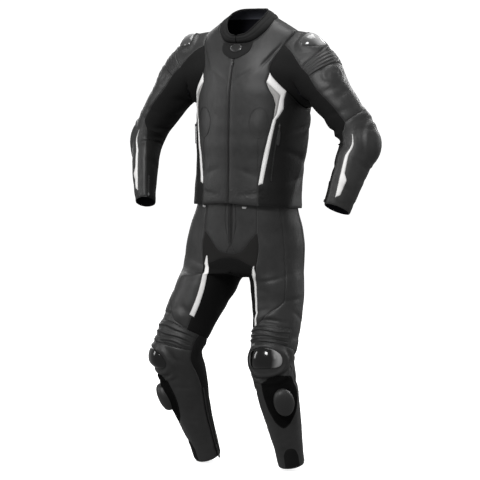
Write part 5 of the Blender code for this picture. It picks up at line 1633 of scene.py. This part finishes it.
def tube(name, points, radius, finish, around=10):
    # a closed round cord along a run of points
    way = unit(np.gradient(points, axis=0))
    first = unit(np.cross(way, np.array([0.0, 0.0, 1.0])))
    second = np.cross(way, first)
    turn = np.linspace(0, 2 * np.pi, around, endpoint=False)
    c, s = np.cos(turn)[None, :, None], np.sin(turn)[None, :, None]
    rings = points[:, None] + radius * (c * first[:, None] + s * second[:, None])
    rows = len(points)
    faces = tubeFaces(rows, around)
    reach = np.linalg.norm(np.diff(points, axis=0, prepend=points[:1]), axis=1).cumsum()
    maps = np.stack([np.tile(turn * radius, rows), np.repeat(reach, around)], -1)
    far = np.full(rows * around, seamReach)
    thing = meshFrom(
        name, rings.reshape(-1, 3), faces, maps, [finishes[finish]], [0] * len(faces), seam=far, flex=far * 0
    )
    outwards(thing)
    return put(thing)


def buildBindings():
    # soft piping round the collar's rim
    angles = np.linspace(4, 356, 140)
    rim, _ = formsOf[leftSide]["collar"].place(angles, 1 + 0 * angles)
    tube("collarBinding", rim, 0.0022, "collarKnit")


buildBindings()
print("pulls and piping made")

seamLines = {"radius": 0.0007, "sunk": 0.0002}
badgeOval = (1, 1.310, 6.0, 0.0115)
badgeRim = {"lift": 0.0034, "radius": 0.0009}
hemClips = ((-34, 0.8175), (14, 0.8185))


def welt(name, side, kind, grid, radius):
    # a thin raised line along places on a form
    place, normal = formsOf[side][kind].place(grid[:, 0], grid[:, 1])
    return tube(name, place + normal * (radius - seamLines["sunk"]), radius, "thread", around=6)


def ring(angle, station, halfAngle, halfLength):
    turn = np.radians(np.linspace(0, 360, 64))
    return np.stack([angle + halfAngle * np.cos(turn), station + halfLength * np.sin(turn)], -1)


def buildLines():
    radius = seamLines["radius"]
    badge = oval(*badgeOval, 3, 3)
    hardPiece("throat_badge", leftSide, "trunk", badge, "badge", *armourSizes["badge"], "neoprene")
    rim, out = formsOf[leftSide]["trunk"].place(*ring(*badgeOval).T)
    tube("throatBadgeRim", rim + out * badgeRim["lift"], badgeRim["radius"], "metal", 6)
    for mark, side in sides:
        welt(f"chestOval_{mark}", side, "trunk", ring(30, 1.081, 10.5, 0.047), radius)
        welt(f"chestDart_{mark}", side, "trunk", line(6, (29.5, 1.034), (30.5, 0.990), (30, 0.930)), radius)
        welt(f"flyTab_{mark}", side, "hips", line(3, (0, 0.722), (4, 0.705)), radius)
        welt(f"flyFlap_{mark}", side, "hips", line(6, (2.6, 0.872), (2.6, 0.740), (0.4, 0.722)), radius)
        shinDart = line(6, (62, 0.372), (74, 0.330), (84, 0.300), (88, 0.262))
        welt(f"shinDart_{mark}", side, "trousers", shinDart, radius)
        hem = patch(
            line(2, (-13, 0.010), (-11, 0.050)), line(2, (50, 0.010), (48, 0.044)),
            level(-13, 50, 0.010, 5),
            line(5, (-11, 0.050), (-2, 0.066), (18, 0.074), (38, 0.064), (48, 0.044)),
        )
        trim(f"hem_gusset_{mark}", side, "trousers", hem, "stretch", 0.0004, "stretch")
    for k, (angle, station) in enumerate(hemClips):
        sliderBody(f"hemClip_{k + 1}", leftSide, "hips", (angle, station), 0.0006, sliderSizes["clip"], "clip")


buildLines()
print("seam lines and clips added")

stageSizes = {"below": 0.004, "reach": 10.0, "wallHeight": 8.0, "bend": 2.4, "around": 96}


def buildStage():
    # a white bowl, so that every side has the same plain background; only the camera sees it
    floorHeight = cadBox[0][2] - stageSizes["below"]
    reach, bend, around = stageSizes["reach"], stageSizes["bend"], stageSizes["around"]
    bow = np.linspace(0, math.pi / 2, 13)
    across = [0.0, 1.0, 3.0, *(reach - bend + bend * np.sin(bow)), reach]
    rise = [0.0, 0.0, 0.0, *(bend - bend * np.cos(bow)), stageSizes["wallHeight"]]
    mesh = bmesh.new()
    for radius, height in zip(across, rise):
        mesh.verts.new((radius, 0, floorHeight + height))
    for low, high in zip(list(mesh.verts), list(mesh.verts)[1:]):
        mesh.edges.new((low, high))
    spun = mesh.verts[:] + mesh.edges[:]
    bmesh.ops.spin(mesh, geom=spun, cent=(0, 0, 0), axis=(0, 0, 1), angle=2 * math.pi, steps=around, use_merge=True)
    bmesh.ops.remove_doubles(mesh, verts=mesh.verts[:], dist=0.001)
    data = bpy.data.meshes.new("studioBowl")
    mesh.to_mesh(data)
    mesh.free()
    data.shade_smooth()
    bowl = linked("studioBowl", data)
    bowl.visible_glossy = bowl.visible_diffuse = False
    paper = Finish("studioPaper", Emission_Color=(1, 1, 1, 1), Emission_Strength=0.70)
    paper.use(Base_Color=paper.mix(paper.noise(0.6, 2), shade(0.90), shade(0.93)))
    paper.use(Roughness=paper.noise(3, 2) * 0.05 + 0.85)
    data.materials.append(paper.material)


# Soft boxes round the suit: place, size and power.
lightSizes = {
    "keyLight": ((0.6, -4.8, 3.0), (1.6, 1.6), 210),
    "fillLight": ((-4.2, -3.0, 0.8), (1.0, 2.6), 60),
    "sideLight": ((5.2, -1.6, 1.0), (1.2, 2.6), 16),
    "topLight": ((0.2, 0.4, 3.4), (2.4, 2.4), 110),
    "rimLeft": ((2.6, 3.6, 0.6), (1.4, 2.4), 30),
    "rimRight": ((-3.6, 2.6, 0.6), (1.4, 2.4), 30),
    "backLight": ((0.5, 5.5, 2.0), (1.6, 1.6), 80),
}
lightAim = (0, 0, -0.6)
airStrength = 0.30


def areaLight(name, place, size, power):
    lamp = bpy.data.lights.new(name, "AREA")
    lamp.shape, lamp.size, lamp.size_y, lamp.energy = "RECTANGLE", size[0], size[1], power
    thing = linked(name, lamp)
    thing.location = place
    thing.rotation_euler = (Vector(lightAim) - Vector(place)).to_track_quat("-Z", "Y").to_euler()


def buildLights():
    for name, (place, size, power) in lightSizes.items():
        areaLight(name, place, size, power)
    world = bpy.data.worlds.new("studioAir")
    world.use_nodes = True
    air = world.node_tree.nodes["Background"].inputs
    air["Color"].default_value = (1, 1, 1, 1)
    air["Strength"].default_value = airStrength
    bpy.context.scene.world = world
    bpy.context.scene.view_settings.view_transform = "Standard"


cameraSizes = {"azimuth": 32, "fall": 4.5, "distance": 7.0, "aside": -0.0347, "height": -0.65625, "lens": 166.7}


def buildCamera():
    azimuth, fall = math.radians(cameraSizes["azimuth"]), math.radians(cameraSizes["fall"])
    right = Vector((math.cos(azimuth), math.sin(azimuth), 0))
    away = Vector((-math.sin(azimuth) * math.cos(fall), math.cos(azimuth) * math.cos(fall), -math.sin(fall)))
    lens = bpy.data.cameras.new("studioCamera")
    lens.sensor_width, lens.lens = 36.0, cameraSizes["lens"]
    camera = linked("studioCamera", lens)
    middle = Vector((0, 0, cameraSizes["height"]))
    camera.location = middle + right * cameraSizes["aside"] - away * cameraSizes["distance"]
    camera.rotation_euler = away.to_track_quat("-Z", "Y").to_euler()
    bpy.context.scene.camera = camera


buildStage()
buildLights()
buildCamera()
print("stage lit")
